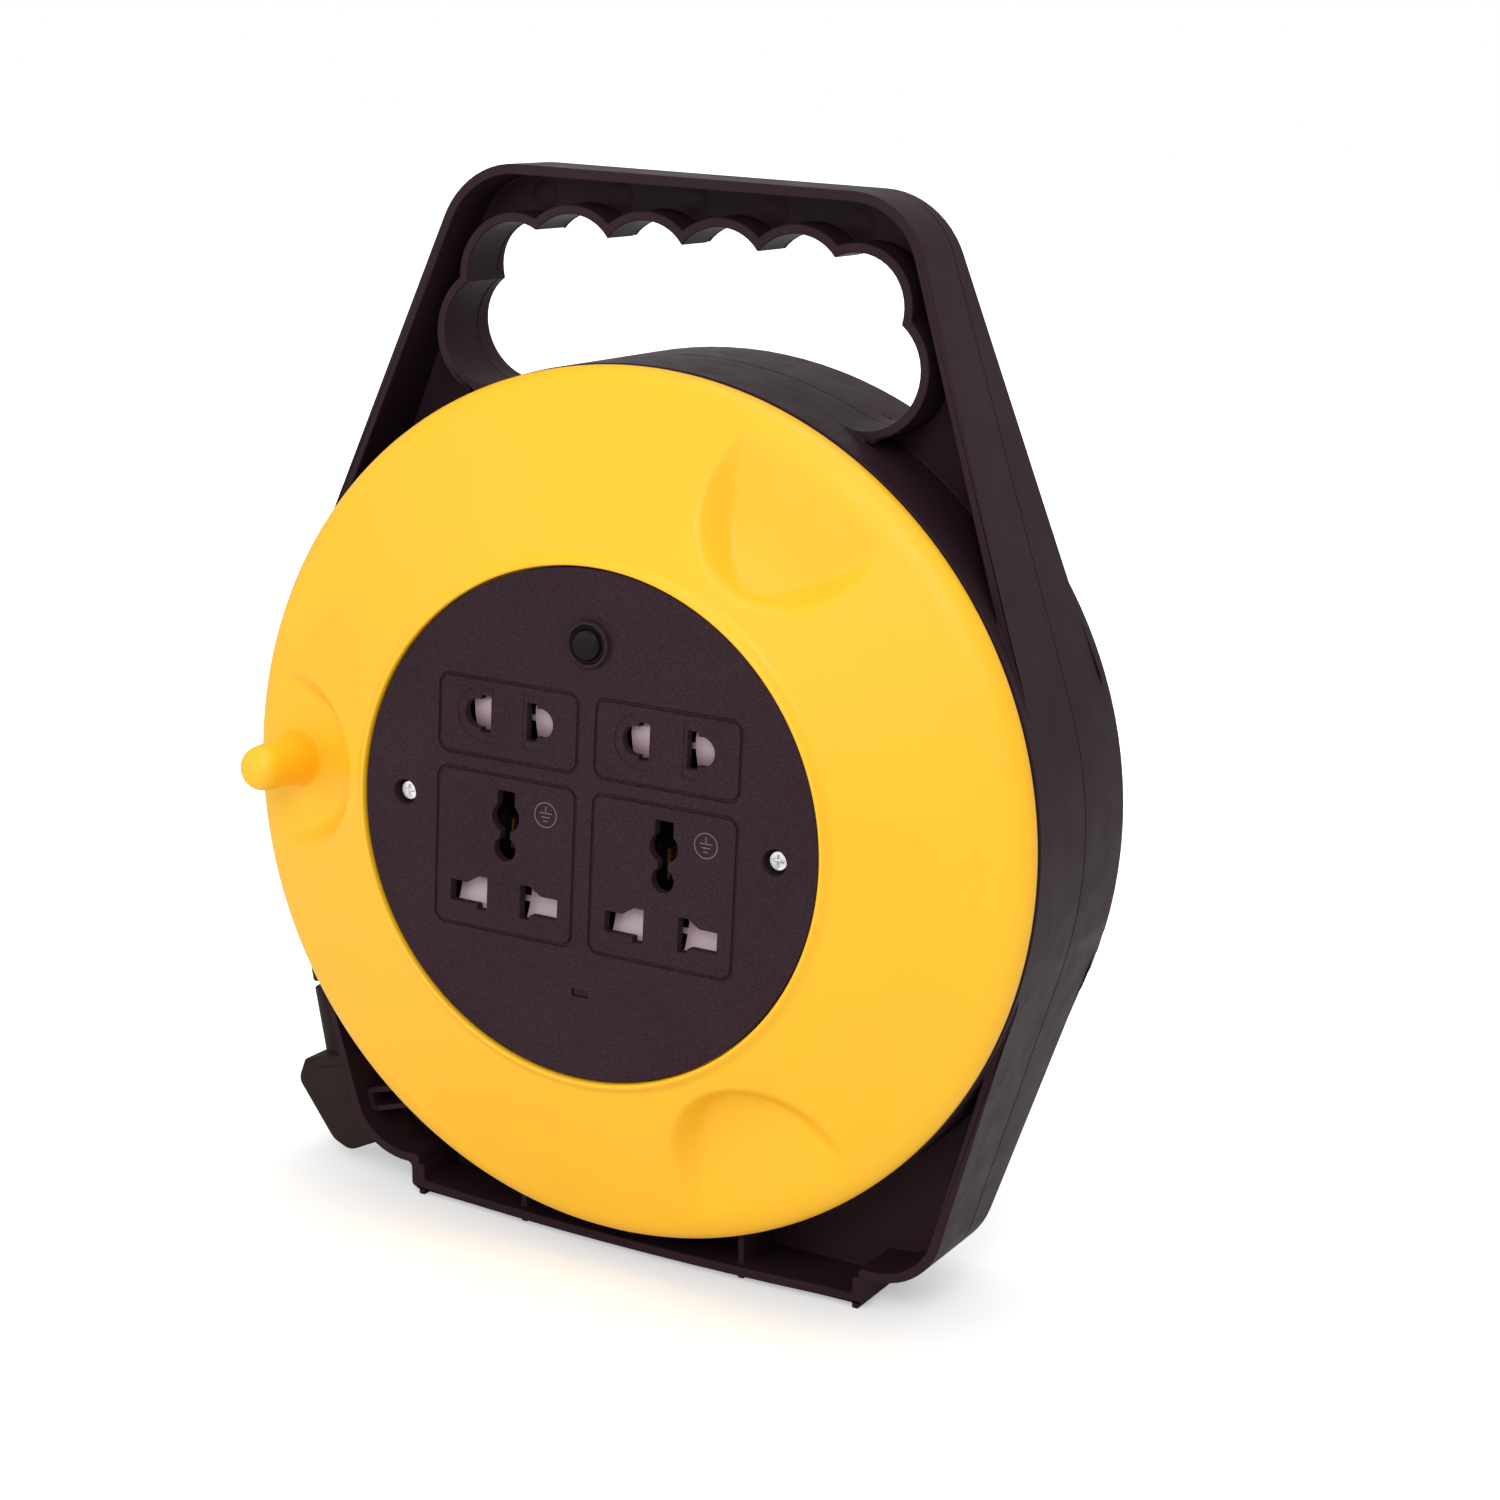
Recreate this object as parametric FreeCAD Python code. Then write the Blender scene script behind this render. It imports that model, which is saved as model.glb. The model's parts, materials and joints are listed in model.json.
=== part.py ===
"""Extension cord reel: a yellow drum with outlets that turns in a black carrying case.

The model is drawn in the drum's own frame: Y along the axle from front to back, with 0 at the
flange's rim, Z up and X to the right from the axle. On writing, every piece moves to the reel's
frame, whose origin is on the floor under the axle, in the plane where the two case halves meet.
Sizes are in millimetres.
"""
import FreeCAD
import Part

import math
import os

Vec = FreeCAD.Vector
Y_AXIS = Vec(0, 1, 0)

# Running and fitting clearances
RUNNING_GAP = 0.06
FIT_GAP = 0.3
FACE_GAP = 0.2
HIDDEN = 0.5

# Driving sizes: the drum's rim, the panel's opening and the barrel
RIM_R = 120.0
OPENING_R = 70.0
BARREL_R = 45.0

# Case
CASE_R = RIM_R + 0.3
CASE_WALL = 2.8
CASE_FRONT_Y = 3.0
PARTING_Y = 33.0
CASE_BACK_Y = 62.9
CASE_BACK_WALL = 2.5
CASE_TOP_Z = CASE_R + 48.0
UPPER_WALL_DEG = 20.0
LOWER_WALL_DEG = 15.1
TOP_CORNER_R = 23.0
BOTTOM_CORNER_R = 20.0
LOWER_WALL_Z = -(CASE_R + 1.7)
BACK_STEP = 1.0
FRONT_TOP_Y = 16.1
BACK_TOP_Y = 37.0
FRONT_TAPER = (FRONT_TOP_Y - CASE_FRONT_Y) / CASE_TOP_Z
BACK_TAPER = (CASE_BACK_Y - BACK_STEP - BACK_TOP_Y) / CASE_TOP_Z
TAPER_TURN_Z = 10.0
WEB_THICK = 2.2
BACK_EDGE_R = 4.0

# Foot
FOOT_HALF_WIDTH = 0.62 * CASE_R
FOOT_Z = LOWER_WALL_Z - 7.5
AXLE_HEIGHT = 2.0 - FOOT_Z
FOOT_STEP_R = 1.5
FOOT_BOW = 4.0
FOOT_RIB_COUNT = 5
FOOT_RIB_PITCH = 2 * (FOOT_HALF_WIDTH - 3.5) / (FOOT_RIB_COUNT - 1)
FOOT_RIB_THICK = 2.0

# Handle opening
FINGER_COUNT = 4
FINGER_PITCH = 22.75
CUSP_Z = CASE_R + 30.2
FINGER_DEPTH = 5.5
SHOULDER_LOBE = (52.0, CASE_R + 18.3)
SHOULDER_LOBE_R = 14.07
END_LOBE = (57.0, CASE_R + 2.7)
LOBE_JOIN_X = 4.0
LOBE_JOIN_INNER_X = 45.0
CEILING_DROP = 6.0
TOE_INSIDE = 8.0
HANDLE_WALL = 2.6
HANDLE_LIP_BACK = 4.0
HANDLE_REAR_BACK = 4.9

# Case screws and their posts
POST_ROW_X = (-49.9, -26.2, -2.8, 21.1, 46.7)
POST_ROW_DROP = 7.3
SIDE_POSTS = ((6.5, 50.6), (8.2, -61.1))
POST_R = 3.0
POST_LENGTH = 2.2
POST_GAP = 0.1
SOCKET_WALL = 1.4
SOCKET_CAP = 1.4
CASE_SCREW_R = 1.4
CASE_SCREW_HEAD_R = 2.9
CASE_SCREW_HEAD = 1.4
CASE_SCREW_LENGTH = 4.8
PILOT_GAP = 0.02
SHANK_GAP = 0.3
SLOT_REACH = 0.6
SLOT_HALF_WIDTH = 0.13
SLOT_DEPTH = 0.5

# Drum front flange
RIM_BACK_Y = 2.2
RIM_THICK = 2.0
CREASE_R = RIM_R - 8.0
CREASE_Y = -5.7
PANEL_Y = -20.8
LIP_WIDTH = 1.7
LIP_RISE = 1.2
FLANGE_WALL = 2.5
COLLAR_WALL = 2.5
FLOOR_BACK_Y = -0.5
FLOOR_THICK = 2.5
FLOOR_HOLE_R = BARREL_R - 15.0
CONE_WIDTH = CREASE_R - OPENING_R
POCKET_COUNT = 3
POCKET_CENTRE_R = CREASE_R - 0.226 * CONE_WIDTH
POCKET_R = 0.619 * CONE_WIDTH
POCKET_FLOOR_Y = CREASE_Y + 0.4
POCKET_FLOOR_R = 0.5 * CONE_WIDTH
POCKET_FLOOR_CENTRE_R = CREASE_R - 0.143 * CONE_WIDTH
POCKET_LIFT = 7.0
SHOULDER_MID = (RIM_R - 2.7, -3.4)
SHOULDER_BACK_MID = (RIM_R - 4.1, -1.4)
PANEL_LEDGE = 2.0

# Drum barrel and rear flange
BARREL_WALL = 2.5
BARREL_WEB_Y = 24.0
BARREL_WEB = 3.0
HUB_R = 10.0
HUB_FRONT_Y = 6.0
REAR_FLANGE_R = RIM_R - 6.5
REAR_FLANGE_Y = 53.0
REAR_FLANGE_THICK = 2.5
REAR_FLANGE_RIBS = 8
BARREL_BOSS_R = 4.2
BARREL_BOSS_PLACE_R = BARREL_R - 8.0
BARREL_BOSS_COUNT = 4
BARREL_BOSS_FIRST_DEG = 15.0
REAR_RIB_WIDTH = 2.0
REAR_RIB_HEIGHT = 1.5
DRUM_SCREW_R = 1.5
DRUM_SCREW_HEAD_R = 2.8
DRUM_SCREW_HEAD = 1.8
DRUM_SCREW_LENGTH = 12.0

# Axle
AXLE_R = 6.0
AXLE_FRONT_Y = 5.7
AXLE_HEAD_R = 10.0
AXLE_HEAD = 2.4
AXLE_DRIVE_R = 3.5
AXLE_DRIVE_DEPTH = 1.6
BOSS_R = 16.0
BOSS_FRONT_Y = 56.9
DISH_R = (24.0, CASE_R - 20.3)
DISH_DEPTH = 1.0
THRUST_WASHER_R = 13.0
RETAINING_WASHER_R = 9.0
RETAINING_WASHER = 1.5
RETAINING_SCREW_R = 2.5
RETAINING_HEAD_R = 4.5
RETAINING_HEAD = 2.6
RETAINING_LENGTH = 16.0

# Crank knob
KNOB_PLACE_R = CREASE_R - 8.5
KNOB_BASE_R = 8.8
KNOB_FOOT_R = 7.3
KNOB_R = 6.4
KNOB_TIP_Y = -27.8
KNOB_FLARE = 3.2
KNOB_PIN_R = 2.6
KNOB_PIN_TIP_Y = -25.0
KNOB_PIN_HEAD_R = 5.0
KNOB_PIN_HEAD = 1.8
KNOB_BEAD_R = 3.2
KNOB_BEAD_Y = -22.5
KNOB_BEAD = 1.6

# Socket panel
PANEL_R = OPENING_R - 0.5
PANEL_THICK = 3.0
GROOVE_WIDTH = 0.9
GROOVE_DEPTH = 0.8
CELL_OUTER_X = 46.4
CELL_INNER_X = 2.34
CELL_CORNER_R = 3.5
TWO_PIN_CELL_Z = (14.0, 36.1)
THREE_PIN_CELL_Z = (-33.9, 10.5)
CELL_MID_X = 24.37
PANEL_SCREW_X = 56.9
PANEL_SCREW_Z = 0.5
PANEL_SCREW_HEAD_R = 2.6
PANEL_SCREW_HEAD = 1.4
PANEL_SCREW_R = 1.4
PANEL_SCREW_SINK = 2.4
PANEL_SCREW_LENGTH = 11.5
PANEL_CUP_R = 3.5
PANEL_CUP_WALL = 1.4
PANEL_POST_R = 4.0

# Outlet holes
TWO_PIN_HALF_PITCH = 9.7
TWO_PIN_Z = 26.0
TWO_PIN_ROUND_R = 4.0
TWO_PIN_SLOT = (3.1, 10.2)
TWO_PIN_SLOT_SHIFT = 2.5
TWO_PIN_DISH_R = 7.6
TWO_PIN_DISH_X = 8.4
TWO_PIN_DISH_FLAT = 4.5
TWO_PIN_DISH_DEPTH = 0.2
LINE_HALF_PITCH = 11.1
LINE_Z = -24.2
LINE_HOLE = (11.6, 5.8)
LINE_NOTCH_WIDTH = 3.0
LINE_NOTCH_UP = 2.2
LINE_NOTCH_DOWN = 1.4
LINE_NOTCH_SLANT = 3.4
EARTH_Z = -1.2
EARTH_R = 4.2
EARTH_SLOT = (5.4, 7.2)
LOWER_EARTH_Z = -10.1
LOWER_EARTH_R = 3.3
EARTH_LINK = 3.0

# Contact carrier
CARRIER_BACK_Y = -5.8
CARRIER_PLATE = 2.0
CARRIER_RIM_Y = -14.7
CARRIER_WALL = 1.4
CARRIER_HALF_X = PANEL_SCREW_X - 6.9
CARRIER_TOP_Z = 47.0
CARRIER_BOTTOM_Z = -43.5
CARRIER_SCREW_PLACES = [(-44.5, -1.5), (44.5, -1.5), (0.0, -22.0), (0.0, 12.0)]
CARRIER_POST_R = 3.0
CARRIER_SCREW_R = 1.2
CARRIER_SCREW_HEAD_R = 2.3
CARRIER_SCREW_HEAD = 1.3
CARRIER_SCREW_LENGTH = 9.0
CARRIER_CORNER_R = 8.0
CUTOUT_NOTCH_X = 9.2
CUTOUT_NOTCH_Z = 37.5
CUTOUT_NOTCH_R = 1.0

# Contacts
STRIP_WIDTH = 5.0
STRIP_THICK = 0.8
LEAF_TOP_Y = -13.6
LEAF_HALF_GAP = 2.2
LEAF_WIDTH = 4.4
EARTH_LEAF_TOP_Y = -12.8
EARTH_LEAF_HALF_GAP = 2.2
EARTH_LEAF_Z = (-12.0, -3.8)
LIVE_BAR_Z = 33.5
NEUTRAL_BAR_Z = -36.0
TAG_WIDTH = 2.2
TAG_Z = (6.0, 10.0)
TAG_END_Y = -1.5
EARTH_BAR_Z = -3.0
SLOT_GAP = 0.15

# Shutters
SHUTTER_FRONT_Y = -17.7
SHUTTER_BACK_Y = -14.78
SHUTTER_SLOPE = 1.0
SHUTTER_OVERLAP = 1.1
RAIL_Z = ((-42.0, -14.0), (14.0, 45.5))
SHUTTER_BAR_HALF_Z = 1.6
SPRING_COIL_R = 1.1
SPRING_WIRE_R = 0.2
SPRING_TURNS = 9
SPRING_SEAT = 0.05

# Thermal cut-out
CUTOUT_Z = 49.7
CUTOUT_NECK_R = 5.2
CUTOUT_BODY_X = 7.4
CUTOUT_BODY_Z = (41.0, 59.0)
CUTOUT_BODY_BACK_Y = -8.6
CUTOUT_NECK_FRONT_Y = -22.3
NUT_R = 6.3
NUT_HEIGHT = 1.9
BUTTON_R = 4.1
BUTTON_REACH = 2.7
BUTTON_GUIDE_R = 4.18
BUTTON_BACK_Y = -15.5
BUTTON_DOME = 1.3
BUTTON_WELL_Y = -13.5
TERMINAL_SIZE = (0.8, 4.8, 6.0)
TERMINAL_HALF_PITCH = 3.6

# Indicator
INDICATOR_X = 0.6
INDICATOR_Z = -45.8
INDICATOR_SLOT = (5.2, 2.0)
LENS_SIZE = (9.0, 5.0)
LENS_THICK = 1.5
LAMP_R = 2.0
LAMP_LENGTH = 8.0

# Cable
CABLE_R = 3.5
WIND_FRONT_Y = -0.3
WIND_BACK_Y = 52.8
INNER_LAYERS = 3
INNER_LAYERS_R = BARREL_R + 2 * CABLE_R * INNER_LAYERS + 0.4
TURNS_IN_LAYER = 6.7
LAYER_GAP = 0.3
CORE_R = 1.1
CORE_OFFSET = 2.0
ARC_SHARE = 0.45
GAP_SAMPLES = 48
LEAD_STRAIGHT = 6.0
TAIL_Y = 12.0
TAIL_END_X = -12.0
CLAMP_X = (-25.0, -17.0)
CLAMP_WALL = 1.6
CLAMP_EAR = 4.5
CLAMP_TO_WALL = 0.6
CLAMP_HALF_Z = CABLE_R + CLAMP_WALL + CLAMP_EAR
BARREL_INNER_R = BARREL_R - BARREL_WALL
TAIL_Z = CLAMP_HALF_Z - math.sqrt((BARREL_INNER_R - CLAMP_TO_WALL) ** 2 - CLAMP_X[0] ** 2)
TAIL_START_X = -math.sqrt(BARREL_INNER_R ** 2 - TAIL_Z ** 2) - 0.3
CLAMP_SCREW_R = 1.2
CLAMP_SCREW_HEAD_R = 2.2
CLAMP_SCREW_HEAD = 1.4
CLAMP_SCREW_LENGTH = 8.0

# Cable lead from the drum to the parked plug: first its corners near the winding, by their
# distance outside it and their angle, then its straight run through the case wall
LEAD_START = ((4.3, 95.9), (6.6, 118.3), (12.4, 144.4))
OUTLET_DEG = 189.8
OUTLET_AXIS_DEG = 240.0
OUTLET_RUN = (-40.4, 14.6)
BUSH_R = 6.6
BUSH_BORE_R = 3.9
BUSH_HALF_LENGTH = 9.0

# Plug, parked against the case's lower left corner: places of its side's outline from there
LOW_CORNER_X = (CASE_R + LOWER_WALL_Z * math.sin(math.radians(LOWER_WALL_DEG))) / math.cos(
    math.radians(LOWER_WALL_DEG))
PLUG_OUTLINE = ((-11.7, 24.7, 1.6), (-27.9, 20.3, 1.6), (-30.1, 13.5, 4.0),
                (-16.9, -3.0, 6.0), (-10.9, -5.4, 5.0), (2.8, 1.5, 2.0))
LEAD_END = (-33.2, 73.0)
PLUG_WIDTH = 25.0
PLUG_EDGE_R = 1.2
PIN_FACE_DEG = 122.0
BLADE_UP = 18.0
BLADE_SIZE = (6.35, 1.52)
BLADE_LENGTH = 16.0
BLADE_HALF_PITCH = 6.35
EARTH_PIN_UP = 6.4
EARTH_PIN_R = 2.4
EARTH_PIN_LENGTH = 18.5
PIN_CLEARANCE = 0.5
NECK_R = (7.2, 6.4)
NECK_LENGTH = 33.0
NECK_END_R = 2.0
NECK_GROOVE_R = 5.2
NECK_GROOVE_AT = 20.0
NECK_GROOVE = 2.0
LOOP_START = (-0.8, 14.4)
LOOP_DEG = 17.5
LOOP_LENGTH = 24.0
LOOP_HALF_HEIGHT = 3.6
LOOP_WALL = 1.6
LOOP_CORNER_R = 1.5
LOOP_FRONT_Y = 16.2
PARK_SLOT = (20.5, 3.1)


def slope_of_cone():
    """Rise of the flange's cone for each millimetre of radius."""
    return (CREASE_Y - PANEL_Y) / (CREASE_R - OPENING_R)


def cylinder(radius, y_from, y_to, x=0.0, z=0.0):
    """A solid rod along Y."""
    return Part.makeCylinder(radius, y_to - y_from, Vec(x, y_from, z), Y_AXIS)


def tube(inner, outer, y_from, y_to, x=0.0, z=0.0):
    """A solid rod along Y with a round hole through it."""
    return cylinder(outer, y_from, y_to, x, z).cut(cylinder(inner, y_from - 1, y_to + 1, x, z))


def block(x_range, y_range, z_range):
    """A box between two values on each axis, given in either order."""
    low = Vec(min(x_range), min(y_range), min(z_range))
    high = Vec(max(x_range), max(y_range), max(z_range))
    return Part.makeBox(high.x - low.x, high.y - low.y, high.z - low.z, low)


def merge(shapes):
    """All shapes as one, with the seams between them removed."""
    first = shapes[0]
    if len(shapes) == 1:
        return first
    return first.fuse(shapes[1:]).removeSplitter()


def group(shapes):
    """Separate solids kept in one piece."""
    solids = []
    for shape in shapes:
        solids.extend(shape.Solids)
    return Part.makeCompound(solids)


def rounded_wire(corners):
    """A closed wire in the XZ plane through corners (x, z, radius), each corner rounded."""
    count = len(corners)
    starts, ends, mids = [], [], []
    for index, (x, z, radius) in enumerate(corners):
        here = Vec(x, 0, z)
        before = corners[index - 1]
        after = corners[(index + 1) % count]
        to_before = (Vec(before[0], 0, before[1]) - here).normalize()
        to_after = (Vec(after[0], 0, after[1]) - here).normalize()
        half_angle = to_before.getAngle(to_after) / 2
        setback = radius / math.tan(half_angle)
        starts.append(here + to_before * setback)
        ends.append(here + to_after * setback)
        bisector = (to_before + to_after).normalize()
        mids.append(here + bisector * (radius / math.sin(half_angle) - radius))
    edges = []
    for index in range(count):
        if corners[index][2] > 0:
            edges.append(Part.Arc(starts[index], mids[index], ends[index]).toShape())
        following = starts[(index + 1) % count]
        if (following - ends[index]).Length > 1e-6:
            edges.append(Part.makeLine(ends[index], following))
    return Part.Wire(edges)


def prism(corners, y_from, y_to):
    """A rounded outline in XZ, pushed along Y."""
    face = Part.Face(rounded_wire(corners))
    face.translate(Vec(0, y_from, 0))
    return face.extrude(Vec(0, y_to - y_from, 0))


def sharp(points):
    """Corners with no rounding, from plain points."""
    return [(x, z, 0.0) for x, z in points]


def rounded_box(x_range, z_range, radius, y_from, y_to):
    """A block along Y with its four long edges rounded."""
    x_low, x_high = x_range
    z_low, z_high = z_range
    corners = [(x_low, z_low, radius), (x_high, z_low, radius),
               (x_high, z_high, radius), (x_low, z_high, radius)]
    return prism(corners, y_from, y_to)


def turned(profile):
    """A solid of revolution about Y; a step is (r, y), or (mid r, mid y, end r, end y) for an arc."""
    first = Vec(profile[0][0], profile[0][1], 0)
    here = first
    edges = []
    for step in profile[1:]:
        end = Vec(step[-2], step[-1], 0)
        if len(step) == 4:
            edges.append(Part.Arc(here, Vec(step[0], step[1], 0), end).toShape())
        else:
            edges.append(Part.makeLine(here, end))
        here = end
    edges.append(Part.makeLine(here, first))
    face = Part.Face(Part.Wire(edges))
    return face.revolve(Vec(0, 0, 0), Y_AXIS, 360)


def moved(shape, x=0.0, y=0.0, z=0.0):
    """A copy of a shape at another place."""
    copy = shape.copy()
    copy.translate(Vec(x, y, z))
    return copy


def spun(shape, degrees):
    """A copy of a shape turned about the axle."""
    copy = shape.copy()
    copy.rotate(Vec(0, 0, 0), Y_AXIS, -degrees)
    return copy


def ring_places(count, radius, first_deg=0.0):
    """Places spread evenly on a circle about the axle."""
    places = []
    for index in range(count):
        angle = math.radians(first_deg + 360.0 * index / count)
        places.append((radius * math.cos(angle), radius * math.sin(angle)))
    return places


def screw(x, z, seat_y, shank_r, head_r, head, length, points_back):
    """A pan-head screw with a cross slot, its head's underside on seat_y."""
    way = 1 if points_back else -1
    near, far = sorted((seat_y, seat_y + way * length))
    shank = cylinder(shank_r, near, far, x, z)
    low, high = sorted((seat_y - way * head, seat_y))
    cap = cylinder(head_r, low, high, x, z)
    outer = seat_y - way * head
    arm = head_r * SLOT_REACH
    thin = head_r * SLOT_HALF_WIDTH
    slot_y = sorted((outer, outer + way * head * SLOT_DEPTH))
    for half_x, half_z in ((arm, thin), (thin, arm)):
        cap = cap.cut(block((x - half_x, x + half_x), slot_y, (z - half_z, z + half_z)))
    return merge([cap, shank])


def corner_arc(before, corner, after, share):
    """The arc round one corner that takes the given share of the shorter run, and its radius."""
    back = before - corner
    on = after - corner
    half_turn = (math.pi - back.getAngle(on)) / 2
    setback = share * min(back.Length, on.Length)
    radius = setback / math.tan(half_turn)
    back.normalize()
    on.normalize()
    inward = (back + on).normalize()
    middle = corner + inward * (radius / math.cos(half_turn) - radius)
    return Part.Arc(corner + back * setback, middle, corner + on * setback).toShape(), radius


def smooth_path(points):
    """Straight runs through the points, joined by arcs as large as the runs allow."""
    edges = []
    here = points[0]
    radii = []
    for before, corner, after in zip(points, points[1:], points[2:]):
        arc, radius = corner_arc(before, corner, after, ARC_SHARE)
        edges.append(Part.makeLine(here, arc.Vertexes[0].Point))
        edges.append(arc)
        radii.append(radius)
        here = arc.Vertexes[-1].Point
    edges.append(Part.makeLine(here, points[-1]))
    return Part.Wire(edges), radii


def cord(points, radius, label):
    """A round cord along a route; prints its length, volume check and tightest arc."""
    path, radii = smooth_path(points)
    direction = (points[1] - points[0]).normalize()
    section = Part.Wire([Part.makeCircle(radius, points[0], direction)])
    solid = path.makePipeShell([section], True, False)
    expected = math.pi * radius ** 2 * path.Length
    print(label, "length", round(path.Length, 1), "least radius", round(min(radii), 1),
          "volume ratio", round(solid.Volume / expected, 4))
    return solid


def case_corners(inset):
    """Corners of the case's outline, moved inwards by inset."""
    upper = math.radians(UPPER_WALL_DEG)
    lower = math.radians(LOWER_WALL_DEG)
    reach = CASE_R - inset
    top_z = CASE_TOP_Z - inset
    low_z = LOWER_WALL_Z + inset
    foot_z = FOOT_Z + inset
    foot_x = FOOT_HALF_WIDTH - inset
    top_x = (reach - top_z * math.sin(upper)) / math.cos(upper)
    side_z = reach * (math.cos(lower) - math.cos(upper)) / math.sin(upper + lower)
    side_x = (reach - side_z * math.sin(upper)) / math.cos(upper)
    low_x = (reach + low_z * math.sin(lower)) / math.cos(lower)
    right = [(foot_x, foot_z, FOOT_STEP_R), (foot_x, low_z, FOOT_STEP_R),
             (low_x, low_z, BOTTOM_CORNER_R - inset), (side_x, side_z, reach),
             (top_x, top_z, TOP_CORNER_R - inset)]
    left = [(-x, z, radius) for x, z, radius in reversed(right)]
    return right + left


def wedge(front_extra=0.0, back_less=0.0):
    """The space between the case's slanting front and back edges."""
    reach = CASE_TOP_Z + TAPER_TURN_Z
    front = CASE_FRONT_Y + front_extra
    back = CASE_BACK_Y - BACK_STEP - back_less
    points = []
    for z in (0, reach):
        points.append((front + FRONT_TAPER * z, z))
    for z in (reach, 0, -reach):
        points.append((back - BACK_TAPER * abs(z), z))
    points.append((front + FRONT_TAPER * reach, -reach))
    half_width = 1.25 * CASE_R
    wire = Part.makePolygon([Vec(-half_width, y, z) for y, z in points + points[:1]])
    return Part.Face(wire).extrude(Vec(2 * half_width, 0, 0))


def finger_lobe():
    """Height and radius of the circle of one finger hollow."""
    half = FINGER_PITCH / 2
    radius = (half ** 2 + FINGER_DEPTH ** 2) / (2 * FINGER_DEPTH)
    return CUSP_Z + FINGER_DEPTH - radius, radius


def handle_prism(grow, y_from, y_to):
    """The handle's opening, made larger all round by grow."""
    finger_z, finger_r = finger_lobe()
    end_x, end_z = END_LOBE
    end_r = math.hypot(end_x, end_z) - CASE_R
    lobes = []
    for side in (-1, 1):
        lobes.append(cylinder(end_r + grow, y_from, y_to, side * end_x, end_z))
        x, z = SHOULDER_LOBE
        lobes.append(cylinder(SHOULDER_LOBE_R + grow, y_from, y_to, side * x, z))
    first = -(FINGER_COUNT - 1) / 2 * FINGER_PITCH
    ceiling = CUSP_Z - CEILING_DROP
    for index in range(FINGER_COUNT):
        lobe = cylinder(finger_r + grow, y_from, y_to, first + index * FINGER_PITCH, finger_z)
        lobes.append(lobe)
    toe = (CASE_R - TOE_INSIDE) / math.hypot(end_x, end_z)
    shoulder_x, shoulder_z = SHOULDER_LOBE
    right = [(end_x * toe, end_z * toe), (end_x, end_z), (shoulder_x + LOBE_JOIN_X, shoulder_z),
             (LOBE_JOIN_INNER_X, ceiling)]
    outline = right + [(-x, z) for x, z in reversed(right)]
    middle = prism(sharp(outline), y_from, y_to)
    below = cylinder(CASE_R - grow, y_from - 1, y_to + 1)
    return merge([middle] + lobes).cut(below)


def save(name, shape):
    """Write one piece in the reel's frame."""
    placed = moved(shape, 0, -PARTING_Y, AXLE_HEIGHT)
    placed.exportStep(os.path.join("parts", name + ".step"))
    valid = placed.isValid()
    print(name, "solids", len(placed.Solids), "valid", valid, "volume", round(placed.Volume))


def from_corner(x, z):
    """A place beside the case's lower left corner."""
    return x - LOW_CORNER_X, z + LOWER_WALL_Z


def plug_outline():
    """Corners of the parked plug's side."""
    return [from_corner(x, z) + (radius,) for x, z, radius in PLUG_OUTLINE]


def parked(shape):
    """A shape drawn with X along the plug's pins and Z up its pin face, put on the parked plug."""
    x, z, _ = plug_outline()[-1]
    return moved(spun(shape, PIN_FACE_DEG - 90), x, 0, z)


def blade(side, grow=0.0):
    """One flat pin of the plug; grow makes its slot."""
    half_up = BLADE_SIZE[0] / 2 + grow
    half_thick = BLADE_SIZE[1] / 2 + grow
    middle = PARTING_Y + side * BLADE_HALF_PITCH
    return parked(block((0, BLADE_LENGTH + grow), (middle - half_thick, middle + half_thick),
                        (BLADE_UP - half_up, BLADE_UP + half_up)))


def earth_pin(grow=0.0):
    """The plug's round pin; grow makes its hole."""
    radius = EARTH_PIN_R + grow
    base = Vec(0, PARTING_Y, EARTH_PIN_UP)
    shaft = Part.makeCylinder(radius, EARTH_PIN_LENGTH - radius, base, Vec(1, 0, 0))
    tip = Part.makeSphere(radius, base + Vec(EARTH_PIN_LENGTH - radius, 0, 0))
    return parked(merge([shaft, tip]))


def park_slot(grow, y_from, y_to):
    """The slot in the case's web that the plug's round pin lies in."""
    length, half = PARK_SLOT
    return parked(block((-2.0, length + grow), (y_from, y_to),
                        (EARTH_PIN_UP - half - grow, EARTH_PIN_UP + half + grow)))


def around(radius, degrees):
    """A place in the parting plane, by its distance from the axle and its angle."""
    angle = math.radians(degrees)
    return Vec(radius * math.cos(angle), PARTING_Y, radius * math.sin(angle))


def outlet_line():
    """Middle of the case wall where the cable comes out, and the cable's direction there."""
    angle = math.radians(OUTLET_AXIS_DEG)
    return around(CASE_R, OUTLET_DEG), Vec(math.cos(angle), 0, math.sin(angle))


def outlet(radius, half_length):
    """A rod along the cable's way out of the case."""
    middle, way = outlet_line()
    return Part.makeCylinder(radius, 2 * half_length, middle - way * half_length, way)


def post_places():
    """Where the case screws and their posts stand: a row in the handle and one pair at each end."""
    places = [(x, CASE_TOP_Z - POST_ROW_DROP) for x in POST_ROW_X]
    for out, degrees in SIDE_POSTS:
        place = around(CASE_R + out, degrees)
        places.extend([(-place.x, place.z), (place.x, place.z)])
    return places


def park_loop(y_from, y_to):
    """The loop that stands on the web beside the parked plug."""
    x, z = from_corner(*LOOP_START)
    half = LOOP_HALF_HEIGHT
    wall = LOOP_WALL
    outside = rounded_box((0, LOOP_LENGTH), (-half, half), LOOP_CORNER_R, y_from, y_to)
    inside = block((wall, LOOP_LENGTH - wall), (y_from - 1, y_to + 1), (wall - half, half - wall))
    return moved(spun(outside.cut(inside), LOOP_DEG), x, 0, z)


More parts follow.
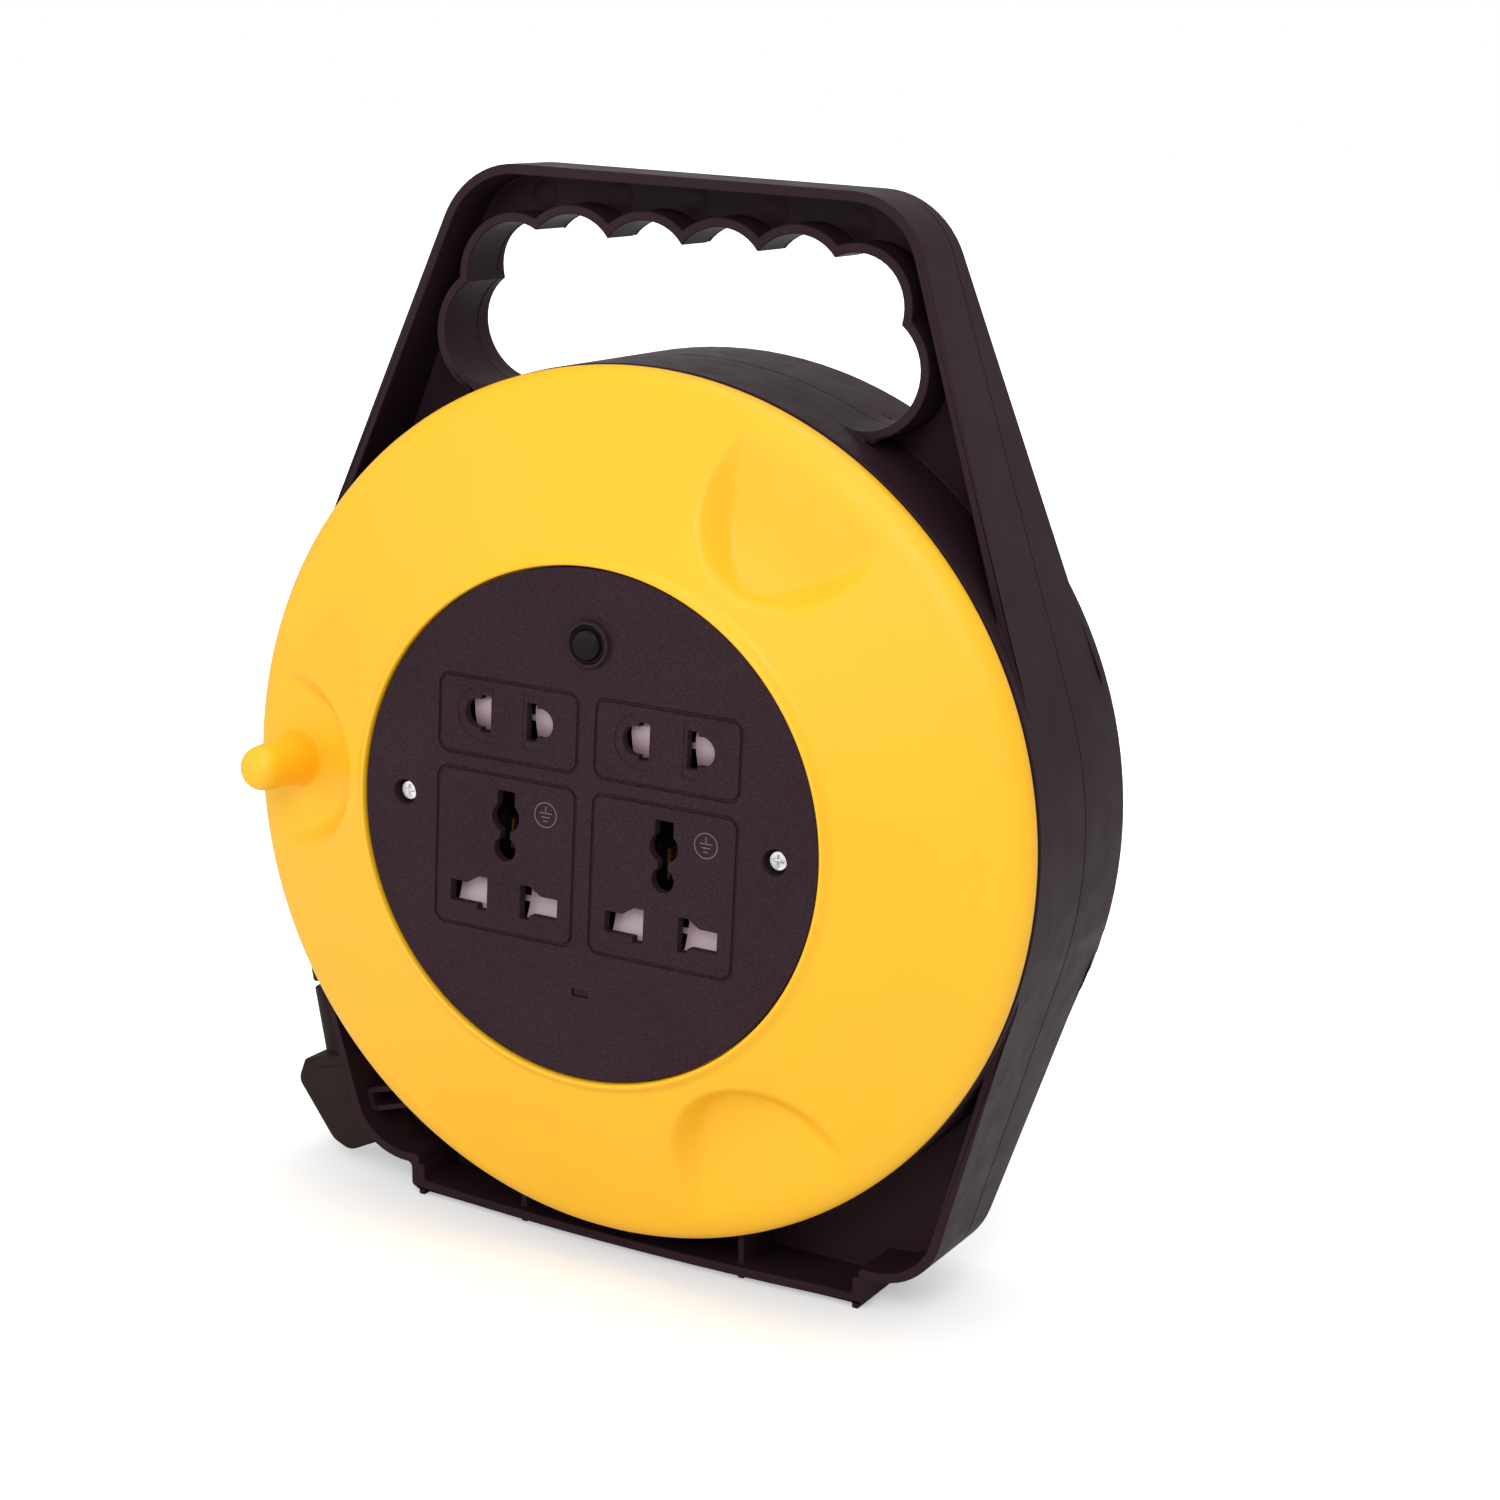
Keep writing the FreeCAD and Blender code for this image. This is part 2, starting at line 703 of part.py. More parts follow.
def foot_ribs(y_from, y_to):
    """Cross ribs under the case; the reel stands on their lower edges."""
    ribs = []
    first = -(FOOT_RIB_COUNT - 1) / 2 * FOOT_RIB_PITCH
    for index in range(FOOT_RIB_COUNT):
        x = first + index * FOOT_RIB_PITCH
        top = LOWER_WALL_Z if abs(x) > CASE_R / 2 else -math.sqrt(CASE_R ** 2 - x ** 2) + HIDDEN
        half = FOOT_RIB_THICK / 2
        ribs.append(block((x - half, x + half), (y_from, y_to), (-AXLE_HEIGHT, top)))
    return merge(ribs).common(wedge())


def case_shell(y_from, y_to, web_from, web_to, loop):
    """Walls, handle, web and foot ribs shared by both halves of the case."""
    span = (y_from, y_to)
    over = (y_from - 1, y_to + 1)
    walls = prism(case_corners(0), *span).cut(prism(case_corners(CASE_WALL), *over))
    walls = walls.common(wedge())
    grip = handle_prism(HANDLE_WALL, *span).cut(handle_prism(0, *over))
    grip = grip.common(wedge(HANDLE_LIP_BACK, HANDLE_REAR_BACK))
    web = prism(case_corners(CASE_WALL / 2), web_from, web_to)
    web = web.cut(handle_prism(HANDLE_WALL / 2, web_from - 1, web_to + 1))
    drum_wall = tube(CASE_R - CASE_WALL, CASE_R, *span)
    shell = merge([walls, grip, web, drum_wall, loop, foot_ribs(*span)])
    bore = cylinder(CASE_R - CASE_WALL, y_from - 1, y_to + 1)
    shell = shell.cut(bore)
    cuts = [outlet(BUSH_R + PILOT_GAP, 2 * BUSH_HALF_LENGTH), earth_pin(PIN_CLEARANCE),
            park_slot(0, web_from - 1, web_to + 1)]
    for side in (-1, 1):
        cuts.append(blade(side, PIN_CLEARANCE))
    for cutter in cuts:
        shell = shell.cut(cutter)
    return shell


def make_front_casing():
    """Front half of the case, with blind posts for the screws and the bowed edge of its foot."""
    web_from = PARTING_Y - WEB_THICK
    shell = case_shell(CASE_FRONT_Y, PARTING_Y, web_from, PARTING_Y, park_loop(LOOP_FRONT_Y, PARTING_Y))
    edge_y = CASE_FRONT_Y - FRONT_TAPER * FOOT_Z
    left = Vec(-FOOT_HALF_WIDTH + FOOT_STEP_R, edge_y, FOOT_Z)
    right = Vec(FOOT_HALF_WIDTH - FOOT_STEP_R, edge_y, FOOT_Z)
    bow = Part.Arc(left, Vec(0, edge_y - FOOT_BOW, FOOT_Z), right).toShape()
    lip = Part.Face(Part.Wire([bow, Part.makeLine(right, left)])).extrude(Vec(0, 0, CASE_WALL))
    posts = [cylinder(POST_R, web_from, PARTING_Y + POST_LENGTH, x, z) for x, z in post_places()]
    shell = merge([shell, lip] + posts)
    for x, z in post_places():
        shell = shell.cut(cylinder(CASE_SCREW_R + PILOT_GAP, PARTING_Y - WEB_THICK / 2,
                                   PARTING_Y + POST_LENGTH + 1, x, z))
    return shell


def case_screw_seat_y():
    """Where the heads of the case screws sit."""
    return PARTING_Y + POST_LENGTH + POST_GAP + SOCKET_CAP


def make_rear_casing():
    """Rear half of the case, with its closed back, the axle's boss and the screw sockets."""
    web_to = PARTING_Y + WEB_THICK
    shell = case_shell(PARTING_Y, CASE_BACK_Y, PARTING_Y, web_to, park_loop(PARTING_Y, web_to))
    inside_y = CASE_BACK_Y - CASE_BACK_WALL
    back = cylinder(CASE_R, inside_y, CASE_BACK_Y)
    boss = cylinder(BOSS_R, BOSS_FRONT_Y, CASE_BACK_Y)
    sockets = []
    seat_y = case_screw_seat_y()
    socket_r = POST_R + POST_GAP + SOCKET_WALL
    for x, z in post_places():
        sockets.append(cylinder(socket_r, PARTING_Y, seat_y, x, z))
    shell = merge([shell, back, boss] + sockets)
    edges = []
    for edge in shell.Edges:
        if abs(edge.BoundBox.YMin - CASE_BACK_Y) < 1e-4 and edge.BoundBox.ZLength > 2 * CASE_R - 1:
            edges.append(edge)
    shell = shell.makeFillet(BACK_EDGE_R, edges)
    shell = shell.cut(handle_prism(0, PARTING_Y - 1, CASE_BACK_Y + 1))
    for x, z in post_places():
        shell = shell.cut(cylinder(POST_R + POST_GAP, PARTING_Y - 1,
                                   PARTING_Y + POST_LENGTH + POST_GAP, x, z))
        shell = shell.cut(cylinder(CASE_SCREW_R + SHANK_GAP, PARTING_Y, seat_y + 1, x, z))
    dish = tube(DISH_R[0], DISH_R[1], CASE_BACK_Y - DISH_DEPTH, CASE_BACK_Y + 1)
    shell = shell.cut(dish)
    shell = shell.cut(cylinder(AXLE_R + PILOT_GAP, BOSS_FRONT_Y - 1, CASE_BACK_Y + 1))
    return shell.cut(cylinder(AXLE_HEAD_R + PILOT_GAP, CASE_BACK_Y - AXLE_HEAD, CASE_BACK_Y + 1))


def make_casing_screws():
    """The screws that hold the two halves together, from the back."""
    screws = []
    for x, z in post_places():
        screws.append(screw(x, z, case_screw_seat_y(), CASE_SCREW_R, CASE_SCREW_HEAD_R,
                            CASE_SCREW_HEAD, CASE_SCREW_LENGTH, False))
    return group(screws)


def make_outlet_bush():
    """Rubber sleeve in the case wall that the cable runs through."""
    return outlet(BUSH_R, BUSH_HALF_LENGTH).cut(outlet(BUSH_BORE_R, 2 * BUSH_HALF_LENGTH))


def make_drum_axle():
    """Steel axle with a flat head set into the back of the case."""
    axle = cylinder(AXLE_R, AXLE_FRONT_Y, CASE_BACK_Y - AXLE_HEAD)
    head = cylinder(AXLE_HEAD_R, CASE_BACK_Y - AXLE_HEAD, CASE_BACK_Y)
    axle = merge([axle, head])
    drive = prism(sharp(ring_places(6, AXLE_DRIVE_R)), CASE_BACK_Y - AXLE_DRIVE_DEPTH,
                  CASE_BACK_Y + 1)
    thread = cylinder(RETAINING_SCREW_R + PILOT_GAP, AXLE_FRONT_Y - 1,
                      AXLE_FRONT_Y - RETAINING_WASHER + RETAINING_LENGTH + 1)
    return axle.cut(drive).cut(thread)


def make_thrust_washer():
    """Slippery washer between the drum's hub and the case."""
    hub_end = REAR_FLANGE_Y + REAR_FLANGE_THICK
    return tube(AXLE_R + FIT_GAP, THRUST_WASHER_R, hub_end + FACE_GAP, BOSS_FRONT_Y)


def make_retaining_washer():
    """Large washer on the axle's front end that keeps the drum on."""
    return tube(RETAINING_SCREW_R + PILOT_GAP, RETAINING_WASHER_R,
                AXLE_FRONT_Y - RETAINING_WASHER, AXLE_FRONT_Y)


def make_retaining_screw():
    """Screw that holds the retaining washer on the axle."""
    return screw(0, 0, AXLE_FRONT_Y - RETAINING_WASHER, RETAINING_SCREW_R, RETAINING_HEAD_R,
                 RETAINING_HEAD, RETAINING_LENGTH, True)


def cone_y(radius):
    """The flange's front face at a radius."""
    return PANEL_Y + slope_of_cone() * (radius - OPENING_R)


def pocket_cutter(grow):
    """The space of one rim hollow, at the right of the axle; grow gives the wall behind it."""
    floor_y = POCKET_FLOOR_Y + grow
    floor = Part.makeCircle(POCKET_FLOOR_R + grow, Vec(0, 0, 0), Y_AXIS)
    floor.translate(Vec(POCKET_FLOOR_CENTRE_R, floor_y, 0))
    tilt = math.atan(slope_of_cone())
    out = Vec(math.sin(tilt), -math.cos(tilt), 0)
    deepest = POCKET_FLOOR_Y - cone_y(POCKET_CENTRE_R - POCKET_R / 2)
    spread = POCKET_LIFT * (POCKET_R - POCKET_FLOOR_R) / deepest
    mouth = Part.makeCircle(POCKET_R + spread + grow, Vec(0, 0, 0), Y_AXIS)
    mouth.rotate(Vec(0, 0, 0), Vec(0, 0, 1), math.degrees(tilt))
    mouth.translate(Vec(POCKET_CENTRE_R, cone_y(POCKET_CENTRE_R), 0) + out * POCKET_LIFT)
    loft = Part.makeLoft([Part.Wire([floor]), Part.Wire([mouth])], True, True)
    above = block((0, 2 * RIM_R), (2 * PANEL_Y, floor_y), (-RIM_R, RIM_R))
    return loft.common(above)


def pocket_angles():
    """The hollows' places round the axle; one of them is at the left, under the knob."""
    return [180.0 + index * 360.0 / POCKET_COUNT for index in range(POCKET_COUNT)]


def make_front_flange():
    """The yellow front of the drum: cone, rim, three hollows, collar and floor for the panel."""
    lip_y = PANEL_Y - LIP_RISE
    lip_r = OPENING_R + LIP_WIDTH
    skin = turned([(OPENING_R, lip_y), (lip_r, lip_y), (lip_r + LIP_RISE, cone_y(lip_r + LIP_RISE)),
                        (CREASE_R, CREASE_Y), (SHOULDER_MID[0], SHOULDER_MID[1], RIM_R, 0),
                        (RIM_R, RIM_BACK_Y), (OPENING_R, RIM_BACK_Y)])
    behind = FLANGE_WALL / math.cos(math.atan(slope_of_cone()))
    void_r = OPENING_R + COLLAR_WALL
    rim_r = RIM_R - RIM_THICK
    void = turned([(void_r, cone_y(void_r) + behind), (CREASE_R - HIDDEN, CREASE_Y + behind),
                        (SHOULDER_BACK_MID[0], SHOULDER_BACK_MID[1], rim_r, 1.0),
                        (rim_r, RIM_BACK_Y + 1), (void_r, RIM_BACK_Y + 1)])
    for angle in pocket_angles():
        skin = skin.cut(spun(pocket_cutter(0), angle))
        void = void.cut(spun(pocket_cutter(FLANGE_WALL), angle))
    flange = skin.cut(void)
    flange = flange.cut(cylinder(void_r + HIDDEN, FLOOR_BACK_Y, RIM_BACK_Y + 1))
    floor_y = FLOOR_BACK_Y - FLOOR_THICK
    floor = tube(FLOOR_HOLE_R, void_r, floor_y, FLOOR_BACK_Y)
    panel_back = PANEL_Y + PANEL_THICK
    ledge = tube(OPENING_R - PANEL_LEDGE, OPENING_R + HIDDEN, panel_back, panel_back + PANEL_LEDGE)
    posts = []
    for side in (-1, 1):
        posts.append(cylinder(PANEL_POST_R, panel_cup_back_y(), floor_y, side * PANEL_SCREW_X,
                              PANEL_SCREW_Z))
    flange = merge([flange, floor, ledge] + posts)
    for side in (-1, 1):
        flange = flange.cut(cylinder(PANEL_SCREW_R + PILOT_GAP, panel_cup_back_y() - 1, floor_y,
                                     side * PANEL_SCREW_X, PANEL_SCREW_Z))
    for x, z in barrel_boss_places():
        flange = flange.cut(cylinder(DRUM_SCREW_R + SHANK_GAP, floor_y - 1, FLOOR_BACK_Y + 1, x, z))
    return flange.cut(cylinder(KNOB_PIN_R + PILOT_GAP, PANEL_Y, RIM_BACK_Y, -KNOB_PLACE_R, 0))


def barrel_boss_places():
    """Screw places that hold both flanges on the barrel."""
    return ring_places(BARREL_BOSS_COUNT, BARREL_BOSS_PLACE_R, BARREL_BOSS_FIRST_DEG)


def make_drum_barrel():
    """The barrel the cable winds on, with its web, hub, screw bosses and cable clamp's seat."""
    inner = BARREL_R - BARREL_WALL
    hub_end = REAR_FLANGE_Y + REAR_FLANGE_THICK
    wall = tube(inner, BARREL_R, FLOOR_BACK_Y, REAR_FLANGE_Y)
    web = cylinder(inner + HIDDEN, BARREL_WEB_Y, BARREL_WEB_Y + BARREL_WEB)
    hub = cylinder(HUB_R, HUB_FRONT_Y, hub_end)
    bosses = []
    for x, z in barrel_boss_places():
        bosses.append(cylinder(BARREL_BOSS_R, FLOOR_BACK_Y, REAR_FLANGE_Y, x, z))
    seat = block(CLAMP_X, (TAIL_Y + CABLE_R, BARREL_WEB_Y + HIDDEN),
                 (TAIL_Z - CLAMP_HALF_Z, TAIL_Z + CLAMP_HALF_Z))
    barrel = merge([wall, web, hub, seat] + bosses)
    barrel = barrel.cut(cylinder(AXLE_R + RUNNING_GAP, HUB_FRONT_Y - 1, hub_end + 1))
    pilot = DRUM_SCREW_R + PILOT_GAP
    for x, z in barrel_boss_places():
        barrel = barrel.cut(cylinder(pilot, FLOOR_BACK_Y - 1, DRUM_SCREW_LENGTH, x, z))
        barrel = barrel.cut(cylinder(pilot, REAR_FLANGE_Y - DRUM_SCREW_LENGTH, REAR_FLANGE_Y + 1, x, z))
    for z in clamp_screw_z():
        x = sum(CLAMP_X) / 2
        barrel = barrel.cut(cylinder(CLAMP_SCREW_R + PILOT_GAP, TAIL_Y, BARREL_WEB_Y - 1, x, z))
    start = Vec(-BARREL_R - 1, TAIL_Y, TAIL_Z)
    way_in = Part.makeCylinder(CABLE_R + FIT_GAP, CLAMP_X[0] - 1 - start.x, start, Vec(1, 0, 0))
    return barrel.cut(way_in)


def make_rear_flange():
    """Black disc behind the cable, with stiffening ribs on its back."""
    back_y = REAR_FLANGE_Y + REAR_FLANGE_THICK
    disc = tube(HUB_R + FIT_GAP, REAR_FLANGE_R, REAR_FLANGE_Y, back_y)
    rib = block((BARREL_R, REAR_FLANGE_R - REAR_RIB_WIDTH), (back_y, back_y + REAR_RIB_HEIGHT),
                (-REAR_RIB_WIDTH / 2, REAR_RIB_WIDTH / 2))
    ribs = [spun(rib, index * 360.0 / REAR_FLANGE_RIBS) for index in range(REAR_FLANGE_RIBS)]
    flange = merge([disc] + ribs)
    for x, z in barrel_boss_places():
        flange = flange.cut(cylinder(DRUM_SCREW_R + SHANK_GAP, REAR_FLANGE_Y - 1, back_y + 1, x, z))
    return flange


def make_flange_screws(seat_y, points_back):
    """The screws of one flange, in the ends of the barrel's bosses."""
    screws = []
    for x, z in barrel_boss_places():
        screws.append(screw(x, z, seat_y, DRUM_SCREW_R, DRUM_SCREW_HEAD_R, DRUM_SCREW_HEAD,
                            DRUM_SCREW_LENGTH, points_back))
    return group(screws)


def make_knob_pin():
    """Steel pin through the flange that the crank knob turns on, with a bead that keeps it on."""
    floor_back = POCKET_FLOOR_Y + FLANGE_WALL
    half = KNOB_BEAD / 2
    return moved(turned([
        (0, floor_back + KNOB_PIN_HEAD), (KNOB_PIN_HEAD_R, floor_back + KNOB_PIN_HEAD),
        (KNOB_PIN_HEAD_R, floor_back), (KNOB_PIN_R, floor_back), (KNOB_PIN_R, KNOB_BEAD_Y + half),
        (KNOB_BEAD_R, KNOB_BEAD_Y, KNOB_PIN_R, KNOB_BEAD_Y - half),
        (KNOB_PIN_R, KNOB_PIN_TIP_Y + HIDDEN), (KNOB_PIN_R - HIDDEN, KNOB_PIN_TIP_Y),
        (0, KNOB_PIN_TIP_Y)]), -KNOB_PLACE_R)


def make_crank_knob():
    """Yellow knob with a flared foot and a round end, hollow for its pin."""
    base_y = POCKET_FLOOR_Y - FACE_GAP
    bore = KNOB_PIN_R + RUNNING_GAP
    bead = KNOB_BEAD_R + RUNNING_GAP
    half = KNOB_BEAD / 2 + RUNNING_GAP
    end_y = KNOB_PIN_TIP_Y - FIT_GAP
    dome_y = KNOB_TIP_Y + KNOB_R
    slant = KNOB_R * math.sqrt(0.5)
    return moved(turned([
        (bore, base_y), (KNOB_BASE_R, base_y),
        (KNOB_FOOT_R + HIDDEN, base_y - KNOB_FLARE / 3, KNOB_FOOT_R, base_y - KNOB_FLARE),
        (KNOB_R, dome_y),
        (slant, dome_y - slant, 0, KNOB_TIP_Y), (0, end_y), (bore, end_y),
        (bore, KNOB_BEAD_Y - half), (bead, KNOB_BEAD_Y, bore, KNOB_BEAD_Y + half)]), -KNOB_PLACE_R)


def cells():
    """The four outlets: x middle and z range of each, two-pin cells first."""
    found = []
    for z_range in (TWO_PIN_CELL_Z, THREE_PIN_CELL_Z):
        for side in (-1, 1):
            found.append((side * CELL_MID_X, z_range))
    return found


def two_pin_hole(cell_x, side, y_from, y_to):
    """A hole for a round or flat pin, its flat side towards the outlet's middle."""
    x = cell_x + side * TWO_PIN_HALF_PITCH
    width, height = TWO_PIN_SLOT
    middle = x - side * TWO_PIN_SLOT_SHIFT
    slot = block((middle - width / 2, middle + width / 2), (y_from, y_to),
                 (TWO_PIN_Z - height / 2, TWO_PIN_Z + height / 2))
    return merge([cylinder(TWO_PIN_ROUND_R, y_from, y_to, x, TWO_PIN_Z), slot])


def two_pin_dish(cell_x, side):
    """The shallow rounded step round a two-pin hole, flat towards the outlet's middle."""
    middle = cell_x + side * TWO_PIN_DISH_X
    flat = cell_x + side * TWO_PIN_DISH_FLAT
    y_range = (PANEL_Y - 1, PANEL_Y + TWO_PIN_DISH_DEPTH)
    z_range = (TWO_PIN_Z - TWO_PIN_DISH_R, TWO_PIN_Z + TWO_PIN_DISH_R)
    outside = block((flat, middle + side * 2 * TWO_PIN_DISH_R), y_range, z_range)
    return merge([cylinder(TWO_PIN_DISH_R, *y_range, middle, TWO_PIN_Z).common(outside),
                  block((flat, middle), y_range, z_range)])


def line_hole(cell_x, side, y_from, y_to):
    """A hole for a line or neutral pin: a wide slot, taller at its end towards the middle."""
    width, height = LINE_HOLE
    x = cell_x + side * LINE_HALF_PITCH
    low_z = LINE_Z - height / 2
    high_z = LINE_Z + height / 2
    slot = block((x - width / 2, x + width / 2), (y_from, y_to), (low_z, high_z))
    inner_x = x - side * width / 2
    notch_x = inner_x + side * LINE_NOTCH_WIDTH
    slant_x = notch_x + side * LINE_NOTCH_SLANT
    upper = [(inner_x, high_z - HIDDEN), (slant_x, high_z - HIDDEN), (slant_x, high_z),
             (notch_x, high_z + LINE_NOTCH_UP), (inner_x, high_z + LINE_NOTCH_UP)]
    lower = block((inner_x, notch_x), (y_from, y_to), (low_z - LINE_NOTCH_DOWN, low_z + HIDDEN))
    return merge([slot, prism(sharp(upper), y_from, y_to), lower])


def earth_hole(cell_x, y_from, y_to):
    """The earth opening: a slot into a round hole, and a smaller round hole below it."""
    width, top = EARTH_SLOT
    slot = block((cell_x - width / 2, cell_x + width / 2), (y_from, y_to), (EARTH_Z, EARTH_Z + top))
    link = block((cell_x - EARTH_LINK / 2, cell_x + EARTH_LINK / 2), (y_from, y_to),
                 (LOWER_EARTH_Z, EARTH_Z))
    return merge([slot, link, cylinder(EARTH_R, y_from, y_to, cell_x, EARTH_Z),
                  cylinder(LOWER_EARTH_R, y_from, y_to, cell_x, LOWER_EARTH_Z)])


def make_socket_panel():
    """Round black panel with the outlets' holes, a groove round each, and posts behind it."""
    back_y = PANEL_Y + PANEL_THICK
    plate_front = CARRIER_BACK_Y - CARRIER_PLATE
    panel = cylinder(PANEL_R, PANEL_Y, back_y)
    posts = [cylinder(CARRIER_POST_R, back_y - HIDDEN, plate_front, x, z) for x, z in CARRIER_SCREW_PLACES]
    cups = [cylinder(PANEL_CUP_R + PANEL_CUP_WALL, back_y - HIDDEN, panel_cup_back_y(),
                     side * PANEL_SCREW_X, PANEL_SCREW_Z) for side in (-1, 1)]
    panel = merge([panel] + posts + cups)
    over = (PANEL_Y - 1, panel_cup_back_y() + 1)
    half_wide = (CELL_OUTER_X - CELL_INNER_X) / 2
    for x, (z_low, z_high) in cells():
        outer = rounded_box((x - half_wide, x + half_wide), (z_low, z_high), CELL_CORNER_R,
                            PANEL_Y - 1, PANEL_Y + GROOVE_DEPTH)
        step = GROOVE_WIDTH
        inner = rounded_box((x - half_wide + step, x + half_wide - step),
                            (z_low + step, z_high - step), CELL_CORNER_R - step,
                            PANEL_Y - 2, PANEL_Y + GROOVE_DEPTH + 1)
        panel = panel.cut(outer.cut(inner))
    for cell_side in (-1, 1):
        x = cell_side * CELL_MID_X
        for side in (-1, 1):
            panel = panel.cut(two_pin_dish(x, side))
            panel = panel.cut(two_pin_hole(x, side, *over))
            panel = panel.cut(line_hole(x, side, *over))
        panel = panel.cut(earth_hole(x, *over))
        screw_x = cell_side * PANEL_SCREW_X
        panel = panel.cut(cylinder(PANEL_SCREW_R + SHANK_GAP, *over, screw_x, PANEL_SCREW_Z))
        panel = panel.cut(cylinder(PANEL_CUP_R, PANEL_Y - 1, panel_seat_y(), screw_x, PANEL_SCREW_Z))
    for x, z in CARRIER_SCREW_PLACES:
        panel = panel.cut(cylinder(CARRIER_SCREW_R + PILOT_GAP, back_y, plate_front + 1, x, z))
    panel = panel.cut(cylinder(CUTOUT_NECK_R + POST_GAP, *over, 0, CUTOUT_Z))
    return panel.cut(indicator_slot(0, *over))


def panel_seat_y():
    """Where the panel screws' heads sit, below the panel's face."""
    return PANEL_Y + PANEL_SCREW_SINK + PANEL_SCREW_HEAD


def panel_cup_back_y():
    """The back of the cups that the panel screws sit in, and the front of the flange's posts."""
    return panel_seat_y() + PANEL_CUP_WALL


def indicator_slot(inset, y_from, y_to):
    """The indicator's window, made smaller by inset."""
    half_x = INDICATOR_SLOT[0] / 2 - inset
    half_z = INDICATOR_SLOT[1] / 2 - inset
    return block((INDICATOR_X - half_x, INDICATOR_X + half_x), (y_from, y_to),
                 (INDICATOR_Z - half_z, INDICATOR_Z + half_z))


def make_panel_screws():
    """Two bright screws that hold the panel on the flange's posts."""
    return group([screw(side * PANEL_SCREW_X, PANEL_SCREW_Z, panel_seat_y(), PANEL_SCREW_R,
                        PANEL_SCREW_HEAD_R, PANEL_SCREW_HEAD, PANEL_SCREW_LENGTH, True)
                  for side in (-1, 1)])


def carrier_outline(inset):
    """Corners of the carrier, notched at the top for the cut-out."""
    x = CARRIER_HALF_X - inset
    top = CARRIER_TOP_Z - inset
    low = CARRIER_BOTTOM_Z + inset
    notch_x = CUTOUT_NOTCH_X + inset
    notch_z = CUTOUT_NOTCH_Z - inset
    radius = CARRIER_CORNER_R - inset
    small = CUTOUT_NOTCH_R
    return [(-x, low, radius), (x, low, radius), (x, top, radius), (notch_x, top, small),
            (notch_x, notch_z, small), (-notch_x, notch_z, small), (-notch_x, top, small),
            (-x, top, radius)]


def make_contact_carrier():
    """Tray behind the panel that holds the contacts and carries the shutters."""
    front_y = CARRIER_BACK_Y - CARRIER_PLATE
    plate = prism(carrier_outline(0), front_y, CARRIER_BACK_Y)
    rim = prism(carrier_outline(0), CARRIER_RIM_Y, front_y)
    rim = rim.cut(prism(carrier_outline(CARRIER_WALL), CARRIER_RIM_Y - 1, front_y + 1))
    rails = []
    half = CARRIER_WALL / 2
    for side in (-1, 1):
        for z_range in RAIL_Z:
            x = side * CELL_MID_X
            rails.append(block((x - half, x + half), (CARRIER_RIM_Y, front_y + HIDDEN), z_range))
    carrier = merge([plate, rim] + rails)
    over = (front_y - 1, CARRIER_BACK_Y + 1)
    for x, z in CARRIER_SCREW_PLACES:
        carrier = carrier.cut(cylinder(CARRIER_SCREW_R + SHANK_GAP, *over, x, z))
    for z in (LIVE_BAR_Z, NEUTRAL_BAR_Z):
        half_bar = STRIP_WIDTH / 2 + SLOT_GAP
        reach = CELL_MID_X + 2
        carrier = carrier.cut(block((-reach, reach), (front_y - STRIP_THICK - SLOT_GAP, front_y),
                                    (z - half_bar, z + half_bar)))
    for side in (-1, 1):
        for part in earth_leaves(side, SLOT_GAP):
            carrier = carrier.cut(part)
        carrier = carrier.cut(tag(side, SLOT_GAP))
    return carrier


def column_x(side, line_side):
    """Middle of a contact column: both contacts of one polarity in one pair of outlets."""
    return side * CELL_MID_X + line_side * (TWO_PIN_HALF_PITCH + LINE_HALF_PITCH) / 2


def contact_leaves(x, z):
    """Two upright brass leaves, above and below a pin."""
    front_y = CARRIER_BACK_Y - CARRIER_PLATE
    leaves = []
    for way in (-1, 1):
        z_range = (z + way * LEAF_HALF_GAP, z + way * (LEAF_HALF_GAP + STRIP_THICK))
        leaves.append(block((x - LEAF_WIDTH / 2, x + LEAF_WIDTH / 2), (LEAF_TOP_Y, front_y), z_range))
    return leaves


def make_line_strip(line_side, bar_z):
    """Brass strip that joins the contacts of one polarity in all four outlets."""
    back_y = CARRIER_BACK_Y - CARRIER_PLATE
    front_y = back_y - STRIP_THICK
    half = STRIP_WIDTH / 2
    parts = []
    for side in (-1, 1):
        x = column_x(side, line_side)
        end_z = (LINE_Z - LEAF_HALF_GAP - STRIP_THICK, TWO_PIN_Z + LEAF_HALF_GAP + STRIP_THICK)
        z_range = (min(end_z[0], bar_z), max(end_z[1], bar_z))
        parts.append(block((x - half, x + half), (front_y, back_y), z_range))
        parts.extend(contact_leaves(side * CELL_MID_X + line_side * TWO_PIN_HALF_PITCH, TWO_PIN_Z))
        parts.extend(contact_leaves(side * CELL_MID_X + line_side * LINE_HALF_PITCH, LINE_Z))
    ends = [column_x(-1, line_side) - half, column_x(1, line_side) + half]
    parts.append(block(ends, (front_y, back_y), (bar_z - half, bar_z + half)))
    parts.append(tag(-line_side, 0))
    return merge(parts)


def tag(side, grow):
    """Solder tag of a line strip, through the carrier; grow makes its slot."""
    x = column_x(side, -side)
    front_y = CARRIER_BACK_Y - CARRIER_PLATE
    half = TAG_WIDTH / 2 + grow
    return block((x - half, x + half), (front_y - (0 if grow else STRIP_THICK), TAG_END_Y),
                 (TAG_Z[0] - grow, TAG_Z[1] + grow))


